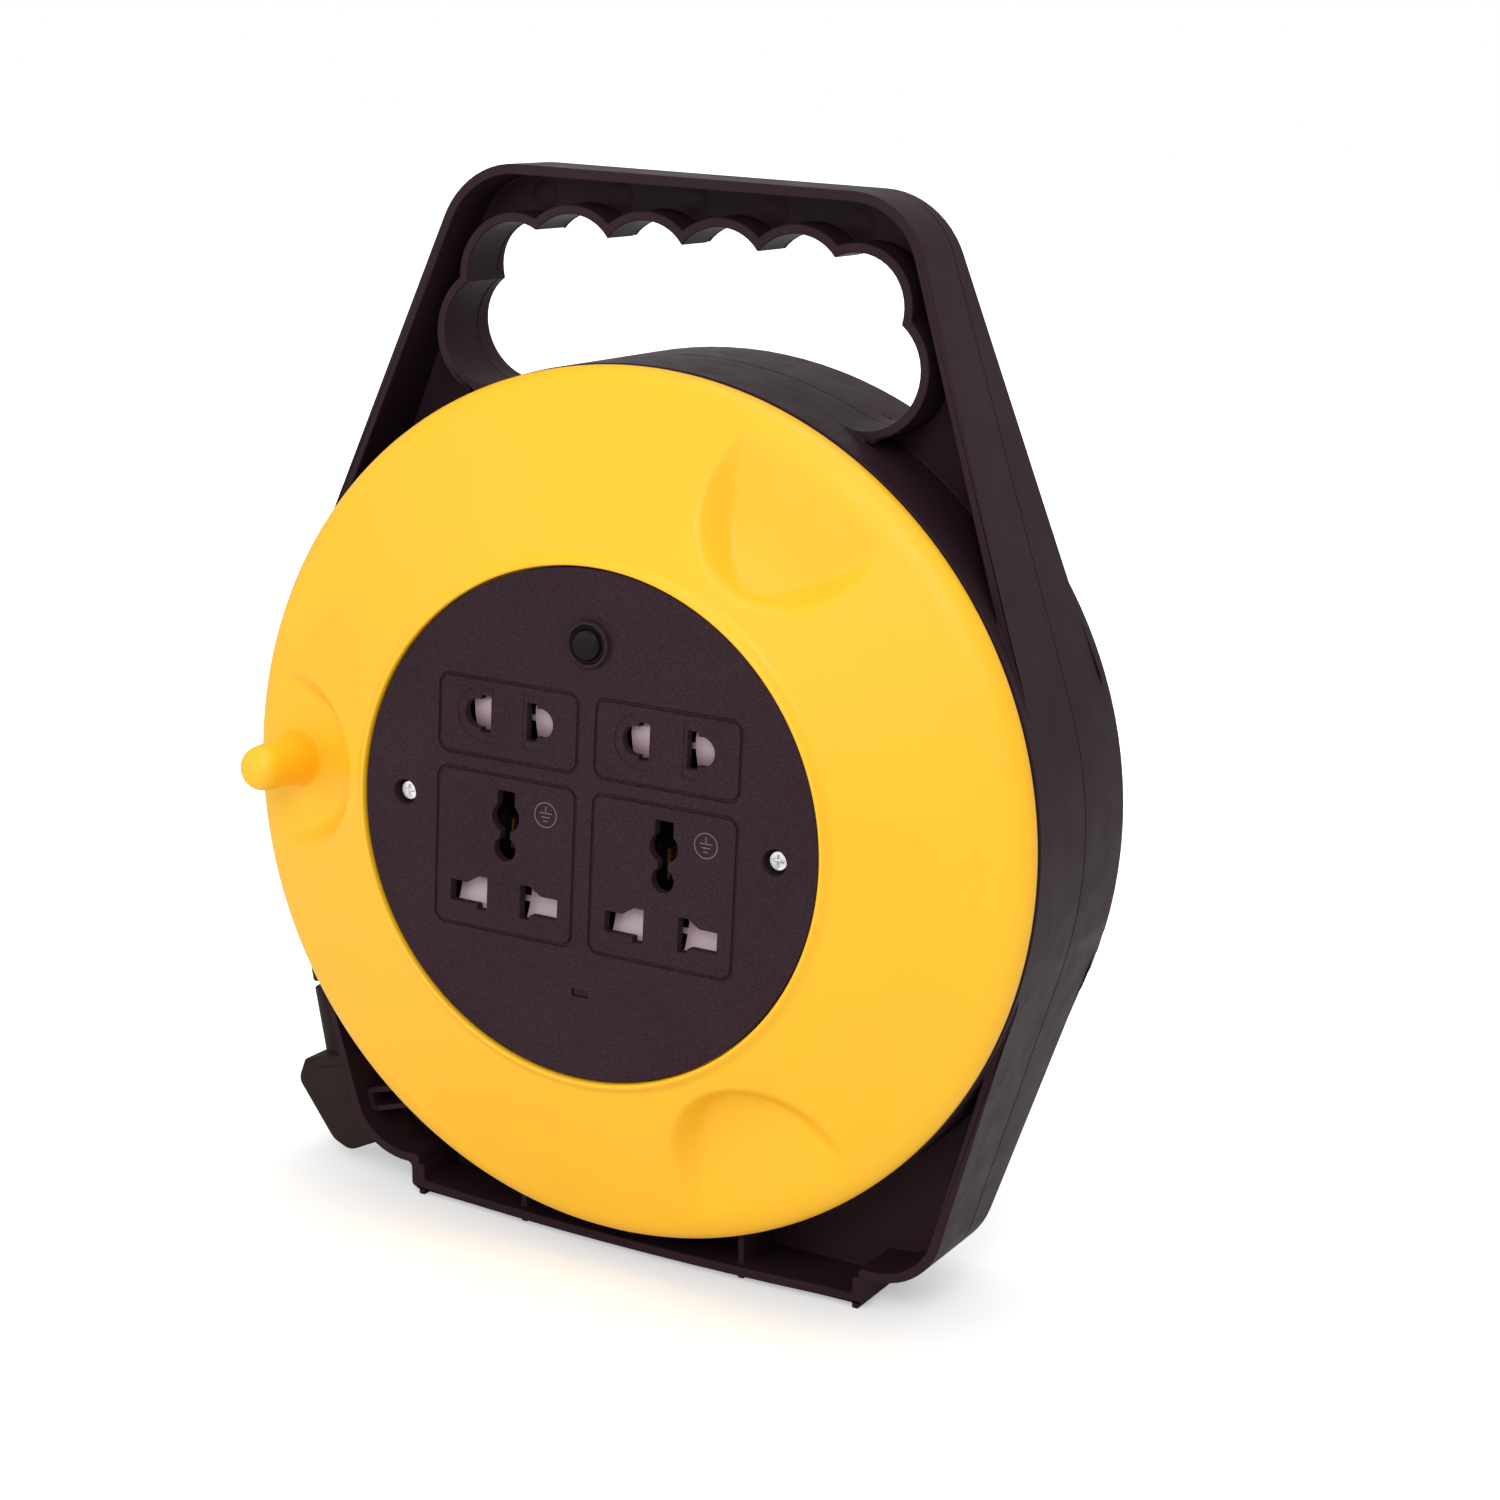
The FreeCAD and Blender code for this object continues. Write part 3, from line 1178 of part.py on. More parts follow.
def earth_leaves(side, grow):
    """Two brass leaves beside the earth pin, through the carrier; grow makes their slots."""
    leaves = []
    for way in (-1, 1):
        near = side * CELL_MID_X + way * (EARTH_LEAF_HALF_GAP - grow)
        far = side * CELL_MID_X + way * (EARTH_LEAF_HALF_GAP + STRIP_THICK + grow)
        z_range = (EARTH_LEAF_Z[0] - grow, EARTH_LEAF_Z[1] + grow)
        leaves.append(block((near, far), (EARTH_LEAF_TOP_Y, CARRIER_BACK_Y + STRIP_THICK), z_range))
    return leaves


def make_earth_strip():
    """Brass strip behind the carrier that joins the two earth contacts."""
    back_y = CARRIER_BACK_Y + STRIP_THICK
    half = STRIP_WIDTH / 2
    reach = CELL_MID_X + EARTH_LEAF_HALF_GAP + STRIP_THICK
    bar = block((-reach, reach), (CARRIER_BACK_Y, back_y), (EARTH_BAR_Z - half, EARTH_BAR_Z + half))
    lug = block((-TAG_WIDTH, TAG_WIDTH), (CARRIER_BACK_Y, TAG_END_Y),
                (EARTH_BAR_Z - half, EARTH_BAR_Z + half))
    return merge([bar, lug] + earth_leaves(-1, 0) + earth_leaves(1, 0))


def make_carrier_screws():
    """Screws from behind that hold the carrier on the panel's posts."""
    return group([screw(x, z, CARRIER_BACK_Y, CARRIER_SCREW_R, CARRIER_SCREW_HEAD_R,
                        CARRIER_SCREW_HEAD, CARRIER_SCREW_LENGTH, False)
                  for x, z in CARRIER_SCREW_PLACES])


def shutter_lobe(x, half_x, z_low, z_high):
    """The part of a shutter behind one hole, its face sloping back to one side."""
    wire = Part.makePolygon([Vec(x - half_x, SHUTTER_FRONT_Y + SHUTTER_SLOPE, z_low),
                             Vec(x + half_x, SHUTTER_FRONT_Y, z_low),
                             Vec(x + half_x, SHUTTER_BACK_Y, z_low),
                             Vec(x - half_x, SHUTTER_BACK_Y, z_low),
                             Vec(x - half_x, SHUTTER_FRONT_Y + SHUTTER_SLOPE, z_low)])
    return Part.Face(wire).extrude(Vec(0, 0, z_high - z_low))


def make_two_pin_shutter(side):
    """Grey shutter behind both holes of a two-pin outlet; pins push it up."""
    cell_x = side * CELL_MID_X
    half_x = TWO_PIN_ROUND_R + SHUTTER_OVERLAP
    half_z = TWO_PIN_SLOT[1] / 2 + SHUTTER_OVERLAP / 2
    lobes = [shutter_lobe(cell_x + way * TWO_PIN_HALF_PITCH, half_x, TWO_PIN_Z - half_z,
                          TWO_PIN_Z + half_z) for way in (-1, 1)]
    reach = TWO_PIN_HALF_PITCH - half_x + HIDDEN
    bar = block((cell_x - reach, cell_x + reach), (SHUTTER_FRONT_Y + SHUTTER_SLOPE, SHUTTER_BACK_Y),
                (TWO_PIN_Z - SHUTTER_BAR_HALF_Z, TWO_PIN_Z + SHUTTER_BAR_HALF_Z))
    return merge(lobes + [bar])


def make_line_shutter(side):
    """Grey shutter behind the line and neutral holes of a three-pin outlet; pins push it down."""
    cell_x = side * CELL_MID_X
    half_x = LINE_HOLE[0] / 2 + SHUTTER_OVERLAP
    near = LINE_HOLE[1] / 2 + SHUTTER_OVERLAP / 2
    z_range = (LINE_Z - near - LINE_NOTCH_DOWN, LINE_Z + near + LINE_NOTCH_UP)
    lobes = [shutter_lobe(cell_x + way * LINE_HALF_PITCH, half_x, *z_range) for way in (-1, 1)]
    reach = LINE_HALF_PITCH - half_x + HIDDEN
    bar = block((cell_x - reach, cell_x + reach), (SHUTTER_FRONT_Y + SHUTTER_SLOPE, SHUTTER_BACK_Y),
                (LINE_Z - SHUTTER_BAR_HALF_Z, LINE_Z + SHUTTER_BAR_HALF_Z))
    return merge(lobes + [bar])


def make_shutter_spring(side, z_low, z_high):
    """Compression spring between a shutter's bar and the carrier's rim."""
    end_room = SPRING_WIRE_R + SPRING_SEAT
    y = CARRIER_RIM_Y - SPRING_COIL_R - SPRING_WIRE_R - POST_GAP
    length = z_high - z_low - 2 * end_room
    pitch = length / SPRING_TURNS
    helix = Part.makeLongHelix(pitch, length, SPRING_COIL_R, 0)
    section = Part.Wire([Part.makeCircle(SPRING_WIRE_R, Vec(SPRING_COIL_R, 0, 0), Y_AXIS)])
    spring = Part.Wire(helix).makePipeShell([section], True, False)
    points = helix.discretize(Number=SPRING_TURNS * GAP_SAMPLES)
    apart = GAP_SAMPLES // 2
    least = min(near.distanceToPoint(far) for index, near in enumerate(points)
                for far in points[index + apart:])
    print("spring's least gap to itself", round(least - 2 * SPRING_WIRE_R, 2))
    return moved(spring, side * CELL_MID_X, y, z_low + end_room)


def spring_ends(upper):
    """Lower and upper end of a shutter's spring."""
    if upper:
        return TWO_PIN_Z + SHUTTER_BAR_HALF_Z, CARRIER_TOP_Z - CARRIER_WALL
    return CARRIER_BOTTOM_Z + CARRIER_WALL, LINE_Z - SHUTTER_BAR_HALF_Z


def make_cutout_body():
    """The thermal cut-out's case, with the threaded neck its button slides in."""
    back_y = PANEL_Y + PANEL_THICK
    body = block((-CUTOUT_BODY_X, CUTOUT_BODY_X), (back_y, CUTOUT_BODY_BACK_Y), CUTOUT_BODY_Z)
    neck = cylinder(CUTOUT_NECK_R, CUTOUT_NECK_FRONT_Y, back_y + HIDDEN, 0, CUTOUT_Z)
    well = cylinder(BUTTON_GUIDE_R, CUTOUT_NECK_FRONT_Y - 1, BUTTON_WELL_Y, 0, CUTOUT_Z)
    return merge([body, neck]).cut(well)


def make_cutout_nut():
    """Round nut on the cut-out's neck, seen as a ring round the button."""
    return tube(CUTOUT_NECK_R + PILOT_GAP, NUT_R, PANEL_Y - NUT_HEIGHT, PANEL_Y, 0, CUTOUT_Z)


def make_cutout_terminals():
    """Two brass blades at the back of the cut-out."""
    thick, deep, tall = TERMINAL_SIZE
    blades = []
    for side in (-1, 1):
        x = side * TERMINAL_HALF_PITCH
        blades.append(block((x - thick / 2, x + thick / 2),
                            (CUTOUT_BODY_BACK_Y, CUTOUT_BODY_BACK_Y + deep),
                            (CUTOUT_Z - tall / 2, CUTOUT_Z + tall / 2)))
    return group(blades)


def make_reset_button():
    """Glossy black button with a domed end."""
    tip_y = PANEL_Y - BUTTON_REACH
    edge_y = tip_y + BUTTON_DOME
    sphere_r = (BUTTON_R ** 2 + BUTTON_DOME ** 2) / (2 * BUTTON_DOME)
    mid_r = BUTTON_R / 2
    mid_y = tip_y + sphere_r - math.sqrt(sphere_r ** 2 - mid_r ** 2)
    return moved(turned([(0, BUTTON_BACK_Y), (BUTTON_R, BUTTON_BACK_Y), (BUTTON_R, edge_y),
                         (mid_r, mid_y, 0, tip_y)]), 0, 0, CUTOUT_Z)


def make_indicator_lens():
    """Dark window of the indicator, set in the panel from behind."""
    back_y = PANEL_Y + PANEL_THICK
    half_x = LENS_SIZE[0] / 2
    half_z = LENS_SIZE[1] / 2
    flange = block((INDICATOR_X - half_x, INDICATOR_X + half_x), (back_y, back_y + LENS_THICK),
                   (INDICATOR_Z - half_z, INDICATOR_Z + half_z))
    return merge([flange, indicator_slot(POST_GAP, PANEL_Y + GROOVE_DEPTH, back_y)])


def make_indicator_lamp():
    """Small glass lamp behind the window."""
    y = PANEL_Y + PANEL_THICK + LENS_THICK + LAMP_R
    length = LAMP_LENGTH - 2 * LAMP_R
    start = Vec(INDICATOR_X - length / 2, y, INDICATOR_Z)
    tube_part = Part.makeCylinder(LAMP_R, length, start, Vec(1, 0, 0))
    ends = [Part.makeSphere(LAMP_R, start), Part.makeSphere(LAMP_R, start + Vec(length, 0, 0))]
    return merge([tube_part] + ends)


def make_cable_inner_layers():
    """The wound cable's inner layers as one plain ring."""
    return tube(BARREL_R + FIT_GAP, INNER_LAYERS_R, WIND_FRONT_Y + HIDDEN, WIND_BACK_Y - HIDDEN)


def wound_length(layers):
    """Length of cable in a number of full layers on the barrel."""
    middles = [BARREL_R + CABLE_R * (2 * layer + 1) for layer in range(layers)]
    return sum(2 * math.pi * middle for middle in middles) * TURNS_IN_LAYER


def make_cable_outer_layer():
    """The wound cable's outer layer as one plain ring."""
    inner_r = INNER_LAYERS_R + LAYER_GAP
    print("whole winding about", round(wound_length(INNER_LAYERS + 1)))
    return tube(inner_r, inner_r + 2 * CABLE_R, WIND_FRONT_Y + HIDDEN, WIND_BACK_Y - HIDDEN)


def make_cable_tail():
    """The cable's inner end, from the barrel's wall to its clamp."""
    return Part.makeCylinder(CABLE_R, TAIL_END_X - TAIL_START_X, Vec(TAIL_START_X, TAIL_Y, TAIL_Z),
                             Vec(1, 0, 0))


def clamp_screw_z():
    """Heights of the two clamp screws."""
    reach = CABLE_R + CLAMP_WALL + CLAMP_EAR / 2
    return (TAIL_Z - reach, TAIL_Z + reach)


def make_cable_clamp():
    """Saddle that holds the cable's tail down."""
    half = CABLE_R + CLAMP_WALL
    seat_y = TAIL_Y + CABLE_R
    hump = block(CLAMP_X, (TAIL_Y - half, seat_y), (TAIL_Z - half, TAIL_Z + half))
    ears = block(CLAMP_X, (seat_y - CLAMP_WALL, seat_y),
                 (TAIL_Z - CLAMP_HALF_Z, TAIL_Z + CLAMP_HALF_Z))
    clamp = merge([hump, ears])
    grip = CABLE_R + RUNNING_GAP
    run = Part.makeCylinder(grip, BARREL_R, Vec(-BARREL_R, TAIL_Y, TAIL_Z), Vec(1, 0, 0))
    slot = block((-BARREL_R, 0), (TAIL_Y, seat_y + 1), (TAIL_Z - grip, TAIL_Z + grip))
    clamp = clamp.cut(merge([run, slot]))
    x = sum(CLAMP_X) / 2
    for z in clamp_screw_z():
        clamp = clamp.cut(cylinder(CLAMP_SCREW_R + SHANK_GAP, 0, BARREL_WEB_Y, x, z))
    return clamp


def make_clamp_screws():
    """Two small screws of the cable clamp."""
    x = sum(CLAMP_X) / 2
    seat_y = TAIL_Y + CABLE_R - CLAMP_WALL
    return group([screw(x, z, seat_y, CLAMP_SCREW_R, CLAMP_SCREW_HEAD_R, CLAMP_SCREW_HEAD,
                        CLAMP_SCREW_LENGTH, True) for z in clamp_screw_z()])


def wire_routes():
    """The three cores from the cable's tail, and the link from the cut-out to the live strip."""
    start = TAIL_END_X
    side_y = CORE_OFFSET * math.cos(math.radians(30))
    low_z = TAIL_Z - CORE_OFFSET / 2
    high_z = TAIL_Z + CORE_OFFSET
    live_x = column_x(-1, 1)
    neutral_x = column_x(1, -1)
    gap_y = (CARRIER_BACK_Y + FLOOR_BACK_Y - FLOOR_THICK) / 2
    terminal_z = CUTOUT_Z - TERMINAL_SIZE[2] / 2
    tag_y = (CARRIER_BACK_Y + TAG_END_Y) / 2
    pitch = TERMINAL_HALF_PITCH
    return {
        "live_wire": [(start, TAIL_Y - side_y, low_z), (-3, TAIL_Y - side_y, low_z), (5, 3, -18),
                      (7, tag_y, -9), (7, tag_y, 10), (pitch, gap_y, 24), (pitch, gap_y, terminal_z)],
        "neutral_wire": [(start, TAIL_Y + side_y, low_z), (4, TAIL_Y + side_y, low_z), (13, 5, -20),
                         (neutral_x, tag_y, -8), (neutral_x, tag_y, TAG_Z[0])],
        "earth_wire": [(start, TAIL_Y, high_z), (-6, TAIL_Y, high_z), (0, 5, -16), (0, tag_y, -12),
                       (0, tag_y, EARTH_BAR_Z - STRIP_WIDTH / 2)],
        "live_link": [(-pitch, gap_y, terminal_z), (-pitch, gap_y, 30), (live_x, tag_y, 20),
                      (live_x, tag_y, TAG_Z[1])],
    }


def lead_points():
    """The cable's way from the drum through the case to the plug's neck."""
    wound_r = INNER_LAYERS_R + LAYER_GAP + 2 * CABLE_R
    points = [around(wound_r + out, degrees) for out, degrees in LEAD_START]
    middle, run_way = outlet_line()
    points.extend([middle + run_way * along for along in OUTLET_RUN])
    x, z = from_corner(*LEAD_END)
    base, way = neck_line()
    return points + [Vec(x, PARTING_Y, z), base + way * (NECK_LENGTH + LEAD_STRAIGHT),
                     base + way * NECK_LENGTH]


def neck_line():
    """Middle of the plug's cable end, and the direction of its neck."""
    first, second = [Vec(x, PARTING_Y, z) for x, z, _ in plug_outline()[:2]]
    across = second - first
    return (first + second) * 0.5, Vec(across.z, 0, -across.x).normalize()


def make_plug_body():
    """Moulded body of the plug, seen from its side."""
    half = PLUG_WIDTH / 2
    body = prism(plug_outline(), PARTING_Y - half, PARTING_Y + half)
    edges = []
    for edge in body.Edges:
        if edge.BoundBox.YLength < 1e-6:
            edges.append(edge)
    return body.makeFillet(PLUG_EDGE_R, edges)


def make_plug_strain_relief():
    """Tapered neck on the plug with a groove near its end."""
    low_r, top_r = NECK_R
    at_groove = low_r + (top_r - low_r) * NECK_GROOVE_AT / NECK_LENGTH
    profile = [(0, 0), (low_r, 0), (at_groove, NECK_GROOVE_AT), (NECK_GROOVE_R, NECK_GROOVE_AT),
               (NECK_GROOVE_R, NECK_GROOVE_AT + NECK_GROOVE), (at_groove, NECK_GROOVE_AT + NECK_GROOVE),
               (top_r, NECK_LENGTH - NECK_END_R),
               (top_r - NECK_END_R * 0.3, NECK_LENGTH - NECK_END_R * 0.3, top_r - NECK_END_R, NECK_LENGTH),
               (0, NECK_LENGTH)]
    base, way = neck_line()
    neck = turned(profile)
    neck.Placement = FreeCAD.Placement(base, FreeCAD.Rotation(Y_AXIS, way))
    return neck


def pieces():
    """Every piece of the reel by name."""
    made = {
        "front_casing": make_front_casing(),
        "rear_casing": make_rear_casing(),
        "casing_screws": make_casing_screws(),
        "outlet_bush": make_outlet_bush(),
        "drum_axle": make_drum_axle(),
        "thrust_washer": make_thrust_washer(),
        "retaining_washer": make_retaining_washer(),
        "retaining_screw": make_retaining_screw(),
        "cable_lead": cord(lead_points(), CABLE_R, "cable_lead"),
        "plug_body": make_plug_body(),
        "plug_strain_relief": make_plug_strain_relief(),
        "plug_blades": group([blade(-1), blade(1)]),
        "plug_earth_pin": earth_pin(),
        "front_flange": make_front_flange(),
        "drum_barrel": make_drum_barrel(),
        "rear_flange": make_rear_flange(),
        "front_flange_screws": make_flange_screws(FLOOR_BACK_Y - FLOOR_THICK, True),
        "rear_flange_screws": make_flange_screws(REAR_FLANGE_Y + REAR_FLANGE_THICK, False),
        "knob_pin": make_knob_pin(),
        "crank_knob": make_crank_knob(),
        "socket_panel": make_socket_panel(),
        "panel_screws": make_panel_screws(),
        "contact_carrier": make_contact_carrier(),
        "carrier_screws": make_carrier_screws(),
        "live_strip": make_line_strip(1, LIVE_BAR_Z),
        "neutral_strip": make_line_strip(-1, NEUTRAL_BAR_Z),
        "earth_strip": make_earth_strip(),
        "cutout_body": make_cutout_body(),
        "cutout_nut": make_cutout_nut(),
        "cutout_terminals": make_cutout_terminals(),
        "reset_button": make_reset_button(),
        "indicator_lens": make_indicator_lens(),
        "indicator_lamp": make_indicator_lamp(),
        "cable_inner_layers": make_cable_inner_layers(),
        "cable_outer_layer": make_cable_outer_layer(),
        "cable_tail": make_cable_tail(),
        "cable_clamp": make_cable_clamp(),
        "clamp_screws": make_clamp_screws(),
    }
    for side, word in ((-1, "left"), (1, "right")):
        made["two_pin_shutter_" + word] = make_two_pin_shutter(side)
        made["three_pin_shutter_" + word] = make_line_shutter(side)
        made["two_pin_spring_" + word] = make_shutter_spring(side, *spring_ends(True))
        made["three_pin_spring_" + word] = make_shutter_spring(side, *spring_ends(False))
    for name, route in wire_routes().items():
        made[name] = cord([Vec(*point) for point in route], CORE_R, name)
    return made


def main():
    """Build the reel and write one file for each piece."""
    os.makedirs("parts", exist_ok=True)
    for name, shape in pieces().items():
        save(name, shape)


main()
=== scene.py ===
"""Looks of the extension cord reel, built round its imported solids.

Every solid keeps its place and gets its finish here. The pieces that show most are made again
with softer edges and finer detail, always inside the space of the solid they stand for. Sizes in
the dataclasses are millimetres in the drum's own frame (X right, Y back along the axle from the
plane of the drum's rim, Z up from the axle), and reach the reel's frame through one matrix.
"""
import json
import logging
from abc import ABC, abstractmethod
from dataclasses import dataclass
from enum import Enum
from math import cos, hypot, pi, radians, sin

import bmesh
import bpy
from mathutils import Matrix, Vector

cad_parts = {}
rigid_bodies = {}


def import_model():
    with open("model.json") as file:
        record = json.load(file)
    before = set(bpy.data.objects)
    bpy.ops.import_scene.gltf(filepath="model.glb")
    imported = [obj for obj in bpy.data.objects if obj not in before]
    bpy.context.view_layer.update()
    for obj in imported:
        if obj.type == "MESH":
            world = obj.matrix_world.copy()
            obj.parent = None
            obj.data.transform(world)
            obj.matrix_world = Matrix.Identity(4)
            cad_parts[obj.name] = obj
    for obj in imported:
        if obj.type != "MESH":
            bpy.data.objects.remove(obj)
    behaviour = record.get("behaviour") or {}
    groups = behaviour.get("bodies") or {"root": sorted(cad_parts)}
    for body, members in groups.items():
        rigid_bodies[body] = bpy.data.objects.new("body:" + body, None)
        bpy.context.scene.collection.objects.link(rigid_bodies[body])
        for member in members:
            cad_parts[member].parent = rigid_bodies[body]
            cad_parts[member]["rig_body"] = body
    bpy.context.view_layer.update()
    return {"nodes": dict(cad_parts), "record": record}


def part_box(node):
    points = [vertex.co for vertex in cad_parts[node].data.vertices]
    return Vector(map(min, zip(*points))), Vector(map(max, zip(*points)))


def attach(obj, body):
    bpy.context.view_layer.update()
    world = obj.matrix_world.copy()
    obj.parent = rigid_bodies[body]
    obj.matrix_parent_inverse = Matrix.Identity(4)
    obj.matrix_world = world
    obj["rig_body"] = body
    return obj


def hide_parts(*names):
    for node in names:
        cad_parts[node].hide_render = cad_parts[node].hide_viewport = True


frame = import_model()

LOG = logging.getLogger("cord_reel")
MM = 0.001
FULL_TURN = 2 * pi
AXLE = Vector((0, 1, 0))
HAIR = 0.001 * MM
MERGE_DISTANCE = 1e-4
SLACK = 0.01
RIM_BACK_Y = 2.2
PANEL_Y = -20.8
OUTLET_X = 24.37
SIDES = ((-1, "left"), (1, "right"))

Colour = tuple[float, float, float, float]
Point = tuple[float, float]
Trail = tuple[Point, ...]
Place = tuple[float, float, float]
Mesh = bmesh.types.BMesh
Socket = bpy.types.NodeSocket


def srgb(red: int, green: int, blue: int) -> Colour:
    """A colour written as it shows on a screen, in the linear values that shaders use."""
    linear = []
    for part in (red, green, blue):
        share = part / 255
        linear.append(share / 12.92 if share <= 0.04045 else ((share + 0.055) / 1.055) ** 2.4)
    return (*linear, 1.0)


def tinted(colour: Colour, share: float) -> Colour:
    """The same hue, lighter or darker by a factor."""
    return colour[0] * share, colour[1] * share, colour[2] * share, 1.0


class Body(Enum):
    """The moving bodies of the reel."""

    CASE = "case"
    DRUM = "drum"
    KNOB = "knob"
    RESET_BUTTON = "reset_button"
    TWO_PIN_LEFT = "two_pin_shutter_left"
    TWO_PIN_RIGHT = "two_pin_shutter_right"
    THREE_PIN_LEFT = "three_pin_shutter_left"
    THREE_PIN_RIGHT = "three_pin_shutter_right"


class NodeSheet:
    """One material's nodes, with short ways to add and join them."""

    def __init__(self, name: str) -> None:
        """Start a material with a principled shader on its output.

        Args:
            name: The material's name.
        """
        self.material = bpy.data.materials.new(name)
        self.material.use_nodes = True
        self.tree = self.material.node_tree
        self.tree.nodes.clear()
        self.shader = self.add("ShaderNodeBsdfPrincipled")
        output = self.add("ShaderNodeOutputMaterial")
        self.join(self.shader.outputs["BSDF"], output.inputs["Surface"])
        self.place = self.add("ShaderNodeTexCoord").outputs["Object"]

    def add(self, kind: str, **settings: object) -> bpy.types.Node:
        """Add a node and set its properties."""
        node = self.tree.nodes.new(kind)
        for name, value in settings.items():
            setattr(node, name, value)
        return node

    def join(self, source: Socket, target: Socket) -> None:
        """Link two sockets."""
        self.tree.links.new(source, target)

    def set(self, socket: str, value: object) -> None:
        """Give one of the shader's own sockets a fixed value."""
        self.shader.inputs[socket].default_value = value

    def noise(self, size: float, detail: float = 3.0, rough: float = 0.55,
              stretch: Place = (1, 1, 1)) -> Socket:
        """Cloudy noise over the object's own coordinates.

        Args:
            size: Width of one cloud in millimetres.
            detail: Octaves of finer noise on top.
            rough: Strength of each finer octave.
            stretch: Scale of the coordinates on each axis.

        Returns:
            The noise value, about 0.5 on average.
        """
        spread = self.add("ShaderNodeMapping")
        spread.inputs["Scale"].default_value = stretch
        self.join(self.place, spread.inputs["Vector"])
        noise = self.add("ShaderNodeTexNoise")
        noise.inputs["Scale"].default_value = 1 / (size * MM)
        noise.inputs["Detail"].default_value = detail
        noise.inputs["Roughness"].default_value = rough
        self.join(spread.outputs["Vector"], noise.inputs["Vector"])
        return noise.outputs["Fac"]

    def cells(self, size: float) -> Socket:
        """Pebbled cells of the given width in millimetres."""
        cells = self.add("ShaderNodeTexVoronoi", feature="SMOOTH_F1")
        cells.inputs["Scale"].default_value = 1 / (size * MM)
        self.join(self.place, cells.inputs["Vector"])
        return cells.outputs["Distance"]

    def span(self, value: Socket, low: float, high: float, start: float = 0.3, end: float = 0.7) -> Socket:
        """Map a value between start and end onto low to high."""
        span = self.add("ShaderNodeMapRange")
        for name, number in (("From Min", start), ("From Max", end), ("To Min", low), ("To Max", high)):
            span.inputs[name].default_value = number
        self.join(value, span.inputs["Value"])
        return span.outputs["Result"]

    def shades(self, value: Socket, low: tuple[float, Colour], high: tuple[float, Colour]) -> Socket:
        """Run from one colour to another along a value.

        Args:
            value: The value.
            low: Where the first colour ends, and the colour.
            high: Where the second colour starts, and the colour.

        Returns:
            The colour.
        """
        ramp = self.add("ShaderNodeValToRGB")
        for stop, (place, colour) in zip(ramp.color_ramp.elements, (low, high)):
            stop.position = place
            stop.color = colour
        self.join(value, ramp.inputs["Fac"])
        return ramp.outputs["Color"]

    def paint(self, colour: Socket) -> None:
        """Use a colour as the base colour."""
        self.join(colour, self.shader.inputs["Base Color"])

    def gloss(self, value: Socket, low: float, high: float) -> None:
        """Let the roughness run from low to high with a value."""
        self.join(self.span(value, low, high), self.shader.inputs["Roughness"])

    def raise_by(self, height: Socket, depth: float) -> None:
        """Bump the surface by a height whose full range is depth millimetres, over earlier bumps."""
        bump = self.add("ShaderNodeBump")
        bump.inputs["Distance"].default_value = depth * MM
        self.join(height, bump.inputs["Height"])
        earlier = self.shader.inputs["Normal"]
        if earlier.is_linked:
            self.join(earlier.links[0].from_socket, bump.inputs["Normal"])
        self.join(bump.outputs["Normal"], earlier)


@dataclass(frozen=True)
class Finish(ABC):
    """The finish of one material slot.

    Attributes:
        slot: The slot's name.
        colour: Its mean colour.
        roughness: Its mean roughness.
        shine: Strength of its mirror-like share.
        bend: Index of refraction, which sets how much it mirrors at a slant.
    """

    slot: str
    colour: Colour
    roughness: float
    shine: float = 0.5
    bend: float = 1.5

    def make(self) -> bpy.types.Material:
        """Build the material."""
        sheet = NodeSheet(self.slot)
        self.dress(sheet)
        sheet.set("Specular IOR Level", self.shine)
        sheet.set("IOR", self.bend)
        LOG.info("finish %s: %d nodes", self.slot, len(sheet.tree.nodes))
        return sheet.material

    @abstractmethod
    def dress(self, sheet: NodeSheet) -> None:
        """Add this finish's nodes to a sheet."""


@dataclass(frozen=True)
class MouldedPlastic(Finish):
    """Injection-moulded plastic: fine spark-eroded grain, faint flow clouds, uneven gloss.

    Attributes:
        grain: Width of the grain.
        grain_depth: Height of the grain.
        mottle: How far the colour wanders from its mean.
        speckle: How far single grains differ in colour.
        cloud: Width of the clouds in the colour.
        patch: Width of the patches in the gloss.
        gloss_spread: How far the roughness wanders.
        wave: Width and height of the waves in the surface.
    """

    grain: float = 0.35
    grain_depth: float = 0.012
    mottle: float = 0.05
    speckle: float = 0.0
    cloud: float = 38.0
    patch: float = 9.0
    gloss_spread: float = 0.05
    wave: Point = (14.0, 0.02)

    def dress(self, sheet: NodeSheet) -> None:
        """Clouds in the colour and gloss, grain in the surface."""
        clouds = sheet.noise(self.cloud, detail=2.0)
        colour = sheet.shades(clouds, (0.3, tinted(self.colour, 1 - self.mottle)),
                              (0.7, tinted(self.colour, 1 + self.mottle)))
        grain = sheet.noise(self.grain, detail=2.0, rough=0.6)
        if self.speckle:
            blend = sheet.add("ShaderNodeMix", data_type="RGBA", blend_type="MULTIPLY")
            blend.inputs["Factor"].default_value = 1.0
            base_socket, layer_socket, result_socket = blend.inputs[6], blend.inputs[7], blend.outputs[2]
            sheet.join(colour, base_socket)
            sheet.join(sheet.span(grain, 1 - self.speckle, 1 + self.speckle), layer_socket)
            colour = result_socket
        sheet.paint(colour)
        patches = sheet.noise(self.patch, detail=4.0)
        sheet.gloss(patches, self.roughness - self.gloss_spread, self.roughness + self.gloss_spread)
        wave_size, wave_depth = self.wave
        sheet.raise_by(sheet.noise(wave_size, detail=1.0), wave_depth)
        sheet.raise_by(grain, self.grain_depth)


